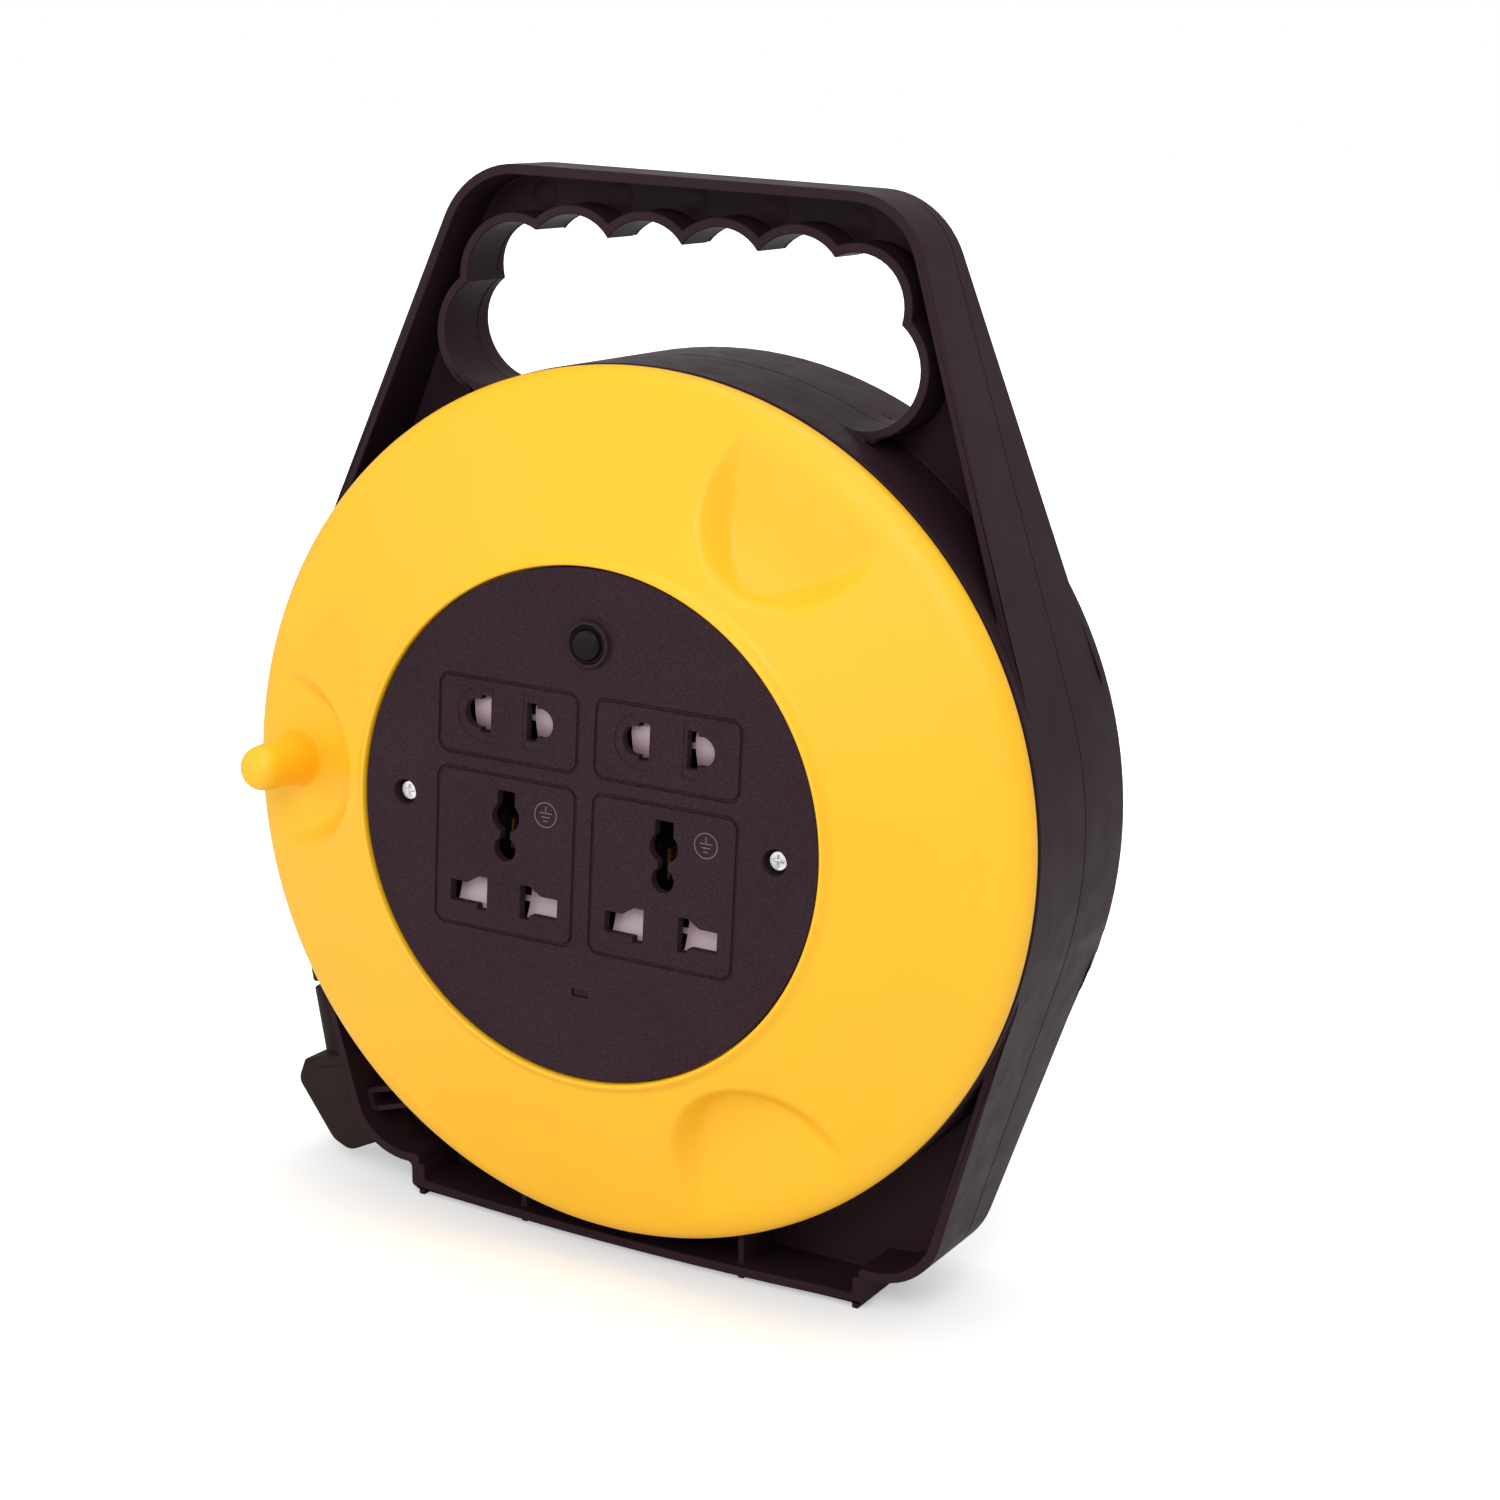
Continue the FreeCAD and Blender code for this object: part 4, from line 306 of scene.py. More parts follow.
@dataclass(frozen=True)
class SoftRubber(Finish):
    """Rubber or soft PVC: matt, slightly dusty, with a fine skin.

    Attributes:
        skin: Width and height of the skin's pebbles.
        dust: Width of the dust's patches.
        gloss_spread: How far the roughness wanders.
    """

    skin: Point = (0.6, 0.02)
    dust: float = 4.0
    gloss_spread: float = 0.08

    def dress(self, sheet: NodeSheet) -> None:
        """Dust in the colour, a soft pebbled skin in the surface."""
        dust = sheet.noise(self.dust, detail=5.0)
        sheet.paint(sheet.shades(dust, (0.35, tinted(self.colour, 0.9)), (0.75, tinted(self.colour, 1.25))))
        sheet.gloss(dust, self.roughness - self.gloss_spread, self.roughness + self.gloss_spread)
        skin_size, skin_depth = self.skin
        sheet.raise_by(sheet.cells(skin_size), skin_depth)


@dataclass(frozen=True)
class TurnedMetal(Finish):
    """Plated or turned metal: fine turning rings round the axle's direction and dull patches.

    Attributes:
        dull: Colour of the dulled patches.
        ring: Spacing of the turning marks.
        ring_depth: Depth of the marks.
        patch: Width of the patches.
    """

    dull: Colour = (0.4, 0.4, 0.4, 1.0)
    ring: float = 0.25
    ring_depth: float = 0.006
    patch: float = 2.5

    def dress(self, sheet: NodeSheet) -> None:
        """Two tones of metal, and fine marks along one way."""
        sheet.set("Metallic", 1.0)
        patches = sheet.noise(self.patch, detail=6.0, rough=0.65)
        sheet.paint(sheet.shades(patches, (0.38, self.dull), (0.55, self.colour)))
        sheet.gloss(patches, self.roughness + 0.12, self.roughness - 0.05)
        sheet.raise_by(sheet.noise(self.ring, detail=2.0, stretch=(1, 0.08, 1)), self.ring_depth)


@dataclass(frozen=True)
class ClearPlastic(Finish):
    """Tinted clear plastic or glass.

    Attributes:
        clear: How much light goes through.
        wave: Width and height of the waves in the surface.
    """

    clear: float = 0.6
    wave: Point = (3.0, 0.01)

    def dress(self, sheet: NodeSheet) -> None:
        """See-through with faint moulding waves."""
        wave_size, wave_depth = self.wave
        waves = sheet.noise(wave_size, detail=2.0)
        sheet.paint(sheet.shades(waves, (0.3, self.colour), (0.7, tinted(self.colour, 1.1))))
        sheet.gloss(waves, self.roughness, self.roughness + 0.06)
        sheet.set("Transmission Weight", self.clear)
        sheet.raise_by(waves, wave_depth)


@dataclass(frozen=True)
class WireSkin(Finish):
    """Insulation of one core, plain or with stripes of a second colour along it.

    Attributes:
        stripe: The stripes' colour.
        streak: Width and height of the streaks.
    """

    stripe: Colour | None = None
    streak: Point = (1.2, 0.01)

    def dress(self, sheet: NodeSheet) -> None:
        """Plain or striped colour under a slick skin."""
        streak_size, streak_depth = self.streak
        streaks = sheet.noise(streak_size, detail=2.0, stretch=(1, 1, 0.3))
        second = self.stripe or tinted(self.colour, 1.15)
        edge = 0.02 if self.stripe else 0.3
        sheet.paint(sheet.shades(streaks, (0.5 - edge, self.colour), (0.5 + edge, second)))
        sheet.gloss(streaks, self.roughness - 0.05, self.roughness + 0.05)
        sheet.raise_by(streaks, streak_depth)


FINISHES = (
    MouldedPlastic("casing_black", srgb(48, 32, 37), 0.42, shine=0.4, bend=1.17, grain=0.6,
                   grain_depth=0.01, mottle=0.08),
    MouldedPlastic("drum_yellow", srgb(255, 192, 30), 0.46, shine=0.45, grain=0.4,
                   grain_depth=0.006, mottle=0.015),
    MouldedPlastic("panel_black", srgb(51, 36, 43), 0.55, shine=0.3, bend=1.2, grain=0.55,
                   grain_depth=0.05, mottle=0.08, speckle=0.35),
    MouldedPlastic("drum_black", srgb(18, 14, 15), 0.55, shine=0.3, bend=1.2, grain=0.5, mottle=0.1),
    MouldedPlastic("shutter_grey", srgb(180, 156, 162), 0.3, shine=0.6, grain=0.4,
                   grain_depth=0.006, mottle=0.04),
    MouldedPlastic("button_black", srgb(22, 16, 18), 0.24, shine=0.4, bend=1.25, grain=0.8,
                   grain_depth=0.003),
    MouldedPlastic("plug_black", srgb(44, 33, 31), 0.6, shine=0.3, bend=1.25, grain_depth=0.02,
                   mottle=0.1),
    MouldedPlastic("washer_nylon", srgb(232, 230, 220), 0.35, grain=0.6, mottle=0.03),
    SoftRubber("cable_black", srgb(34, 28, 29), 0.5, shine=0.3, skin=(0.5, 0.02)),
    SoftRubber("bush_rubber", srgb(26, 22, 23), 0.7, shine=0.3, skin=(0.35, 0.02)),
    TurnedMetal("zinc_steel", srgb(246, 246, 246), 0.3, dull=srgb(215, 215, 218)),
    TurnedMetal("spring_steel", srgb(190, 190, 195), 0.28, dull=srgb(130, 130, 136)),
    TurnedMetal("contact_brass", srgb(250, 196, 90), 0.3, dull=srgb(206, 150, 60), ring=0.18),
    ClearPlastic("lens_smoked", srgb(34, 20, 22), 0.2, shine=0.15, clear=0.1),
    ClearPlastic("lamp_glass", srgb(255, 214, 190), 0.05, clear=0.9),
    WireSkin("core_brown", srgb(104, 62, 38), 0.4),
    WireSkin("core_blue", srgb(46, 92, 170), 0.4),
    WireSkin("core_green", srgb(54, 140, 62), 0.4, stripe=srgb(228, 206, 60)),
)
# Lighter than the panel: a painted highlight, the light that the earth signs' raised lines catch, put into
# their colour.
MARK_HIGHLIGHT_FINISH = MouldedPlastic("mark_painted_highlight", srgb(104, 76, 78), 0.45, shine=0.4, grain=0.3, mottle=0.15)


def baked(mesh: Mesh, name: str) -> bpy.types.Mesh:
    """Named mesh data of a mesh, which is used up."""
    data = bpy.data.meshes.new(name)
    mesh.to_mesh(data)
    mesh.free()
    return data


def placed(name: str, data: bpy.types.ID) -> bpy.types.Object:
    """A new object in the scene that shows some data."""
    item = bpy.data.objects.new(name, data)
    bpy.context.scene.collection.objects.link(item)
    return item


def lathe(profile: list[Point], steps: int, x: float = 0.0, z: float = 0.0) -> Mesh:
    """Turn a closed or axis-ended profile round a line along Y.

    Args:
        profile: Points (radius, y).
        steps: Steps round the turn.
        x: Place of the line.
        z: Height of the line.

    Returns:
        The turned mesh.
    """
    mesh = bmesh.new()
    rail = [mesh.verts.new((radius, y, 0)) for radius, y in profile]
    edges = [mesh.edges.new(pair) for pair in zip(rail, rail[1:])]
    if profile[0][0] > 0 and profile[-1][0] > 0:
        edges.append(mesh.edges.new((rail[-1], rail[0])))
    bmesh.ops.spin(mesh, geom=rail + edges, cent=(0, 0, 0), axis=AXLE, angle=FULL_TURN, steps=steps,
                   use_merge=True)
    bmesh.ops.remove_doubles(mesh, verts=mesh.verts, dist=MERGE_DISTANCE)
    bmesh.ops.translate(mesh, vec=(x, 0, z), verts=mesh.verts)
    return mesh


def bow(first: Point, middle: Point, last: Point, steps: int) -> list[Point]:
    """Points on a smooth bow through three points of a profile, the first one left out.

    Args:
        first: Where the bow starts.
        middle: A point halfway along it.
        last: Where it ends.
        steps: Number of points.

    Returns:
        The points (radius, y).
    """
    pull = [2 * mid - (a + b) / 2 for a, mid, b in zip(first, middle, last)]
    points = []
    for index in range(1, steps + 1):
        share = index / steps
        weights = ((1 - share) ** 2, 2 * share * (1 - share), share ** 2)
        points.append(tuple(weights[0] * a + weights[1] * p + weights[2] * b
                            for a, p, b in zip(first, pull, last)))
    return points


def pushed(corners: list[Place], way: Place) -> Mesh:
    """A closed bar with a flat end.

    Args:
        corners: Corners of the end.
        way: From this end to the other one.

    Returns:
        The bar's mesh.
    """
    mesh = bmesh.new()
    end = mesh.faces.new([mesh.verts.new(corner) for corner in corners])
    grown = bmesh.ops.extrude_face_region(mesh, geom=[end], use_keep_orig=True)
    moved = [item for item in grown["geom"] if isinstance(item, bmesh.types.BMVert)]
    bmesh.ops.translate(mesh, vec=way, verts=moved)
    return mesh


def rod(outline: list[Point], x_from: float, x_to: float) -> Mesh:
    """A bar along X with the given outline of points (y, z)."""
    return pushed([(x_from, y, z) for y, z in outline], (x_to - x_from, 0, 0))


def block(x_range: Point, y_range: Point, z_range: Point) -> Mesh:
    """A bar along X with square corners."""
    front, back = y_range
    low, high = z_range
    return rod([(back, high), (back, low), (front, low), (front, high)], *x_range)


def joined(meshes: list[Mesh]) -> Mesh:
    """Several meshes as one."""
    whole = bmesh.new()
    for mesh in meshes:
        data = baked(mesh, "joined")
        whole.from_mesh(data)
        bpy.data.meshes.remove(data)
    return whole


def reach(face: bmesh.types.BMFace, edge: bmesh.types.BMEdge) -> float:
    """How far a face extends from the line of one of its edges."""
    start, end = edge.verts[0].co, edge.verts[1].co
    way = (end - start).normalized()
    return max((way.cross(corner.co - start)).length for corner in face.verts)


def slot_of(node: str) -> str:
    """The material slot that the record gives a solid."""
    for subpart in frame["record"]["subparts"]:
        if subpart["node"] == node:
            return subpart["material_slot"]
    raise KeyError(node)


class Workshop:
    """Makes meshes in the drum's millimetres and puts them on their bodies."""

    def __init__(self, materials: dict[str, bpy.types.Material]) -> None:
        """Keep the materials and find the drum's frame from its solids.

        Args:
            materials: The made materials by slot.
        """
        self.materials = materials
        low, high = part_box("front_flange")
        rim_y = high.y - RIM_BACK_Y * MM
        axle_z = (high.z + low.z) / 2
        self.to_reel = Matrix.Translation((0, rim_y, axle_z)) @ Matrix.Scale(MM, 4)

    def dress_solids(self) -> None:
        """Give every carried-over solid the finish of its slot."""
        for name, solid in frame["nodes"].items():
            slot = slot_of(name)
            solid.data.materials.clear()
            solid.data.materials.append(self.materials[slot])

    def finish(self, mesh: Mesh, name: str, body: Body, slot: str, replaces: tuple[str, ...] = (),
               scaled: bool = True, smooth_deg: float = 40, material: str = "") -> bpy.types.Object:
        """Turn mesh data into a named piece on its body.

        Args:
            mesh: The mesh, in the drum's millimetres unless scaled is false.
            name: The piece's name.
            body: The body that it rides on.
            slot: Its material slot.
            replaces: Solids that it stands for.
            scaled: Whether to bring it into the reel's frame.
            smooth_deg: Edges under this angle are shaded smooth.
            material: A material of its own, where it isn't the slot's.

        Returns:
            The piece.
        """
        if scaled:
            bmesh.ops.transform(mesh, matrix=self.to_reel, verts=mesh.verts)
        bmesh.ops.recalc_face_normals(mesh, faces=mesh.faces)
        for edge in mesh.edges:
            edge.smooth = len(edge.link_faces) == 2 and edge.calc_face_angle() < radians(smooth_deg)
        for face in mesh.faces:
            face.smooth = True
        piece = placed(name, baked(mesh, name))
        piece.data.materials.append(self.materials[material or slot])
        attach(piece, body.value)
        if replaces:
            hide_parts(*replaces)
        LOG.info("%s: %d faces on %s", name, len(piece.data.polygons), body.value)
        return piece


class Piece(ABC):
    """A part of the reel that is made again with more detail."""

    @abstractmethod
    def build(self, shop: Workshop) -> None:
        """Make the pieces and finish them in the workshop."""


@dataclass(frozen=True)
class SoftPiece(Piece):
    """A solid's own shape with rounded edges.

    Attributes:
        node: The solid.
        width: Width of the rounding.
        steps: Steps across the rounding.
        least_angle: Edges over this angle in degrees are rounded.
        flat_angle: Faces that differ by less than this are joined first.
        room: How many widths a face needs beside a rounded edge.
        narrow_webs: Place (x, z) from the reel's foot and radius of the webs that stay sharp.
    """

    node: str
    width: float
    steps: int = 2
    least_angle: float = 35.0
    flat_angle: float = 0.4
    room: float = 2.4
    narrow_webs: Place = (-96.0, 34.0, 17.0)

    def clean_copy(self) -> Mesh:
        """The solid's mesh with whole faces, flat rings cut in two at the middle of the reel."""
        mesh = bmesh.new()
        mesh.from_mesh(frame["nodes"][self.node].data)
        bmesh.ops.remove_doubles(mesh, verts=mesh.verts, dist=HAIR)
        bmesh.ops.bisect_plane(mesh, geom=mesh.verts[:] + mesh.edges[:] + mesh.faces[:], dist=HAIR,
                               plane_co=(0, 0, 0), plane_no=(1, 0, 0))
        for edge in mesh.edges:
            edge.seam = all(abs(corner.co.x) < 2 * HAIR for corner in edge.verts)
        bmesh.ops.dissolve_limit(mesh, angle_limit=radians(self.flat_angle), verts=mesh.verts,
                                 edges=mesh.edges, delimit={"SEAM"})
        return mesh

    def is_rounded(self, edge: bmesh.types.BMEdge) -> bool:
        """Whether an edge is sharp and has room for its rounding."""
        if len(edge.link_faces) != 2 or edge.calc_face_angle() <= radians(self.least_angle):
            return False
        middle = (edge.verts[0].co + edge.verts[1].co) / 2 / MM
        x, z, radius = self.narrow_webs
        if hypot(middle.x - x, middle.z - z) < radius:
            return False
        return all(reach(face, edge) > self.room * self.width * MM for face in edge.link_faces)

    def build(self, shop: Workshop) -> None:
        """Mark the edges and round them."""
        mesh = self.clean_copy()
        weight = mesh.edges.layers.float.new("bevel_weight_edge")
        for edge in mesh.edges:
            edge[weight] = 1.0 if self.is_rounded(edge) else 0.0
        body = Body(frame["nodes"][self.node]["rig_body"])
        piece = shop.finish(mesh, self.node + "_soft", body, slot_of(self.node), (self.node,), scaled=False)
        bevel = piece.modifiers.new("soft edges", "BEVEL")
        bevel.width = self.width * MM
        bevel.segments = self.steps
        bevel.limit_method = "WEIGHT"
        bevel.use_clamp_overlap = False
        bevel.harden_normals = True


SOFT_PIECES = tuple(SoftPiece(node, width) for node, width in (
    ("socket_panel", 0.3), ("front_casing", 0.45), ("rear_casing", 0.45), ("plug_body", 0.3),
    ("plug_strain_relief", 0.4), ("outlet_bush", 0.3), ("panel_screws", 0.2), ("drum_axle", 0.4),
    ("cutout_body", 0.2), ("rear_flange", 0.4), ("plug_blades", 0.2), ("retaining_screw", 0.2),
))


@dataclass(frozen=True)
class Hollow:
    """A hollow in the drum's cone: a steep wall round a bed that rises towards the axle.

    Attributes:
        angle: Degrees round the axle.
        mouth: Place from the axle and radius of its mouth.
        bed: Where its bed starts from the axle, and the length and half width of the bow it follows.
        bed_y: Height of the bed.
        rise: Where the bed starts to rise towards the axle, and how fast.
        straightness: How straight the wall is, from 0, a soft S, to 1.
    """

    angle: float
    mouth: Point = (102.6, 25.4)
    bed: Place = (79.6, 32.4, 24.4)
    bed_y: float = -5.78
    rise: Point = (94.2, 0.024)
    straightness: float = 0.35

    def surface_y(self, corner: Vector, cone: float) -> float:
        """Height of the drum's front over a point.

        Args:
            corner: The point.
            cone: Height of the cone there.

        Returns:
            The hollow's height inside its mouth, and the cone's outside it.
        """
        turn = radians(self.angle)
        along = corner.x * cos(turn) + corner.z * sin(turn)
        across = corner.z * cos(turn) - corner.x * sin(turn)
        inside = self.mouth[1] - hypot(along - self.mouth[0], across)
        if inside <= 0:
            return cone
        start, length, half = self.bed
        over = (across / half) ** 2 - (along - start) / length
        outside = over / hypot(2 * across / half ** 2, 1 / length)
        share = min(max(outside / (outside + inside), 0.0), 1.0) if outside > 0 else 0.0
        soft = share * share * (3 - 2 * share)
        slope = self.straightness * share + (1 - self.straightness) * soft
        rise_from, steepness = self.rise
        bed_y = self.bed_y - steepness * max(rise_from - along, 0.0) ** 2
        return max(cone, bed_y + slope * (cone - bed_y))


@dataclass
class DrumFlange(Piece):
    """The drum's yellow front: a cone round the panel with three hollows at its rim.

    Attributes:
        lip: Points (radius, y) over the rounded lip round the panel.
        cone_start: Radius and y where the cone starts outside the lip.
        crease: Radius and y of the crease between cone and shoulder.
        shoulder: A point halfway round the shoulder, and the shoulder's end at the rim.
        shoulder_steps: Points round the shoulder.
        rim: Points round the rim's back edge to the shoulder's underside.
        collar_r: Outer radius of the collar behind the lip.
        inside: Points from the collar's foot over the drum's floor to the panel's ledge.
        wall: Wall thickness along Y.
        hollows: The hollows.
        hollow_back_y: The hollows' undersides stay in front of this.
        ring: Distance between rings on the cone.
        steps: Steps round the axle.
        post: Inner and outer radius of the panel screws' posts.
        post_ends: Front and back of the posts.
        post_place: Their place (x, z) on either side.
        post_steps: Steps round a post.
    """

    lip: Trail = ((70.0, -21.2), (70.12, -21.7), (70.35, -21.94), (70.7, -22.0), (71.05, -21.88),
                              (71.4, -21.55), (72.3, -20.45), (72.8, -19.95))
    cone_start: Point = (73.4, -19.58)
    crease: Point = (112.0, -5.7)
    shoulder: tuple[Point, Point] = ((117.3, -3.4), (120.0, 0.0))
    shoulder_steps: int = 10
    rim: Trail = ((120.0, 1.8), (119.88, 2.08), (119.6, 2.2), (118.0, 2.2), (118.0, 1.0),
                              (115.9, -1.4))
    collar_r: float = 72.5
    inside: Trail = ((72.5, -0.5), (30.0, -0.5), (30.0, -3.0), (70.0, -3.0), (70.0, -15.8),
                                 (68.0, -15.8), (68.0, -17.8), (70.0, -17.8))
    wall: float = 2.8
    hollows: tuple[Hollow, ...] = (Hollow(60.0), Hollow(180.0), Hollow(300.0))
    hollow_back_y: float = -0.6
    ring: float = 0.75
    steps: int = 720
    post: Point = (1.42, 4.0)
    post_ends: Point = (-15.6, -2.6)
    post_place: Point = (56.9, 0.5)
    post_steps: int = 32

    def cone_y(self, radius: float) -> float:
        """Height of the cone at a radius."""
        start_r, start_y = self.cone_start
        share = (radius - start_r) / (self.crease[0] - start_r)
        return start_y + share * (self.crease[1] - start_y)

    def profile(self) -> list[Point]:
        """Closed section of the flange."""
        points = [*self.lip, self.cone_start]
        radius = self.cone_start[0] + self.ring
        while radius < self.crease[0] - self.ring / 2:
            points.append((radius, self.cone_y(radius)))
            radius += self.ring
        points.append(self.crease)
        points.extend(bow(self.crease, *self.shoulder, self.shoulder_steps))
        points.extend(self.rim)
        radius = self.crease[0]
        while radius > self.collar_r + 2 * self.ring:
            points.append((radius, self.cone_y(radius) + self.wall))
            radius -= 2 * self.ring
        points.append((self.collar_r, self.cone_y(self.collar_r) + self.wall))
        points.extend(self.inside)
        return points

    def sink_hollows(self, mesh: Mesh) -> None:
        """Push the cone and its underside back where the hollows are."""
        for corner in mesh.verts:
            place = corner.co
            radius = hypot(place.x, place.z)
            if not self.cone_start[0] < radius < self.crease[0] + SLACK:
                continue
            cone = self.cone_y(radius)
            sunk = max(hollow.surface_y(place, cone) for hollow in self.hollows)
            if place.y < cone + self.wall / 2:
                place.y = max(place.y, sunk)
            elif place.y < 0:
                place.y = max(place.y, min(sunk + self.wall, self.hollow_back_y))

    def build(self, shop: Workshop) -> None:
        """Spin the section, sink the hollows into it and add the screw posts."""
        mesh = lathe(self.profile(), self.steps)
        self.sink_hollows(mesh)
        bore_r, post_r = self.post
        front, back = self.post_ends
        post = [(bore_r, front), (post_r, front), (post_r, back), (bore_r, back)]
        x, z = self.post_place
        posts = [lathe(post, self.post_steps, side * x, z) for side, _ in SIDES]
        shop.finish(joined([mesh] + posts), "drum_front", Body.DRUM, "drum_yellow", ("front_flange",),
                    smooth_deg=50)


@dataclass
class CrankKnob(Piece):
    """The knob that turns the drum: a tapered peg with a flared foot and a round end.

    Attributes:
        x: Its place left of the axle.
        foot: Radius and y of its foot.
        flare: A point halfway up the flare.
        neck: Where the flare ends.
        dome: Where the round end starts.
        tip_y: Its tip.
        bore: Radius and end of the pin's bore.
        fullness: Roundness of the end, 2 for an ellipse and more for a fuller one.
        flare_steps: Points along the flare.
        dome_steps: Points along the round end.
        steps: Steps round it.
    """

    x: float = -103.5
    foot: Point = (8.8, -5.5)
    flare: Point = (7.75, -6.6)
    neck: Point = (7.3, -8.9)
    dome: Point = (6.4, -21.6)
    tip_y: float = -27.8
    bore: Point = (2.66, -25.3)
    fullness: float = 2.35
    flare_steps: int = 8
    dome_steps: int = 16
    steps: int = 72

    def build(self, shop: Workshop) -> None:
        """Turn the knob."""
        section = [(0.0, self.bore[1]), self.bore, (self.bore[0], self.foot[1]), self.foot]
        section.extend(bow(self.foot, self.flare, self.neck, self.flare_steps))
        dome_r, dome_y = self.dome
        for index in range(self.dome_steps):
            turn = radians(90 * index / self.dome_steps)
            section.append((dome_r * cos(turn) ** (2 / self.fullness),
                            dome_y + (self.tip_y - dome_y) * sin(turn) ** (2 / self.fullness)))
        section.append((0.0, self.tip_y))
        mesh = lathe(section, self.steps, self.x)
        shop.finish(mesh, "crank_peg", Body.KNOB, "drum_yellow", ("crank_knob",))


@dataclass
class ResetButton(Piece):
    """The thermal cut-out's button and the round nut that holds it in the panel.

    Attributes:
        z: Their height over the axle.
        nut: Section of the nut.
        button_side: Section of the button up to its rounded edge.
        button_edge: A point halfway round the edge, and the edge's end.
        button_top: Section of its nearly flat top.
        edge_steps: Points round the edge.
        steps: Steps round them.
    """

    z: float = 49.7
    nut: Trail = ((5.22, PANEL_Y), (6.3, PANEL_Y), (6.3, -22.0), (6.22, -22.35), (6.0, -22.6),
                              (5.75, -22.7), (5.57, -22.7), (5.32, -22.55), (5.22, -22.25))
    button_side: Trail = ((0.0, -15.5), (4.1, -15.5), (4.1, -22.2))
    button_edge: tuple[Point, Point] = ((3.82, -23.08), (3.0, -23.38))
    button_top: Trail = ((2.3, -23.47), (1.5, -23.5), (0.0, -23.5))
    edge_steps: int = 8
    steps: int = 72

    def build(self, shop: Workshop) -> None:
        """Turn nut and button."""
        nut = lathe(list(self.nut), self.steps, 0, self.z)
        shop.finish(nut, "cutout_ring", Body.DRUM, "panel_black", ("cutout_nut",))
        edge = bow(self.button_side[-1], *self.button_edge, self.edge_steps)
        button = lathe([*self.button_side, *edge, *self.button_top], self.steps, 0, self.z)
        shop.finish(button, "reset_cap", Body.RESET_BUTTON, "button_black", ("reset_button",))


@dataclass(frozen=True)
class Shutter(Piece):
    """One kind of safety shutter: a lobe behind each pin hole and a flat bar between them.

    Attributes:
        kind: First words of its names.
        side: Which way the outlet lies from the axle, and the last word of its names.
        z_range: Lower and upper end of a lobe.
        half_pitch: The lobes' place on either side of the outlet's middle.
        starts: How far each lobe reaches to the left of its place.
        end: How far it reaches to the right.
        turning: Where its face turns, as a share of its height.
        face_y: The face's place there.
        swell: How far the lobe's ends lie behind it, or in front of it where this is below zero.
        bar: Ends of the bar from the outlet's middle, and its height.
        bar_size: Half height and thickness of the bar.
        back_y: Back of lobes and bar.
        face_steps: Steps over the face.
    """

    kind: str
    side: tuple[int, str]
    z_range: Point
    half_pitch: float
    starts: Point
    end: float
    turning: float
    face_y: float
    swell: float
    bar: Place
    bar_size: Point = (0.8, 0.5)
    back_y: float = -14.78
    face_steps: int = 12

    def outline(self) -> list[Point]:
        """Outline (y, z) of a lobe."""
        low, high = self.z_range
        points = [(self.back_y, high), (self.back_y, low)]
        for index in range(self.face_steps + 1):
            share = index / self.face_steps
            away = (share - self.turning) / (self.turning if share < self.turning else 1 - self.turning)
            points.append((self.face_y + self.swell * away * away, low + share * (high - low)))
        return points

    def build(self, shop: Workshop) -> None:
        """Make both lobes and the bar on the shutter's body."""
        side, word = self.side
        middle = side * OUTLET_X
        bars = []
        for (way, _), start in zip(SIDES, self.starts):
            place = middle + way * self.half_pitch
            bars.append(rod(self.outline(), place - start, place + self.end))
        bar_from, bar_to, bar_z = self.bar
        half_height, thickness = self.bar_size
        bars.append(block((middle + bar_from, middle + bar_to), (self.back_y - thickness, self.back_y),
                          (bar_z - half_height, bar_z + half_height)))
        node = self.kind + "_shutter_" + word
        shop.finish(joined(bars), self.kind + "_gate_" + word, Body(node), "shutter_grey", (node,))


SHUTTERS = tuple(shutter for side in SIDES for shutter in (
    Shutter("two_pin", side, z_range=(20.35, 31.65), half_pitch=9.7, starts=(3.4, 3.6), end=5.1,
            turning=0.74, face_y=-16.9, swell=1.9, bar=(-7.7, 6.3, 26.0)),
    Shutter("three_pin", side, z_range=(-29.05, -18.55), half_pitch=11.1, starts=(5.4, 5.4), end=6.9,
            turning=0.9, face_y=-15.3, swell=-2.3, bar=(-9.1, 5.9, -24.2)),
))


@dataclass
class EarthSigns(Piece):
    """The small moulded earth sign beside each three-pin outlet's earth hole, lighter than the panel: its
    colour is a painted highlight for the light that its raised lines catch.

    Attributes:
        shift: Its place (x, z) from the outlet's middle and the axle.
        y_range: Front and back of its lines.
        ring_r: Radius of the ring.
        half_line: Half the width of its lines.
        stem: Lower and upper end of the upright line.
        bars: Half length and height of each level line.
        steps: Steps round the ring.
    """

    shift: Point = (12.6, 1.6)
    y_range: Point = (PANEL_Y - 0.14, PANEL_Y + 0.1)
    ring_r: float = 3.35
    half_line: float = 0.17
    stem: Point = (0.5, 2.4)
    bars: Trail = ((1.9, 0.5), (1.3, -0.6), (0.65, -1.7))
    steps: int = 48

    def build(self, shop: Workshop) -> None:
        """Lay both signs on the panel."""
        front, back = self.y_range
        line = self.half_line
        inner, outer = self.ring_r - line, self.ring_r + line
        ring = [(inner, back), (inner, front), (outer, front), (outer, back)]
        lines = [(line, *self.stem)]
        lines.extend((half, level - line, level + line) for half, level in self.bars)
        for side, word in SIDES:
            x, z = side * OUTLET_X + self.shift[0], self.shift[1]
            meshes = [lathe(ring, self.steps, x, z)]
            for half, low, high in lines:
                meshes.append(block((x - half, x + half), self.y_range, (z + low, z + high)))
            # The signs' lighter material is a painted highlight on their lines.
            shop.finish(joined(meshes), "earth_sign_" + word, Body.DRUM, "panel_black",
                        material=MARK_HIGHLIGHT_FINISH.slot)


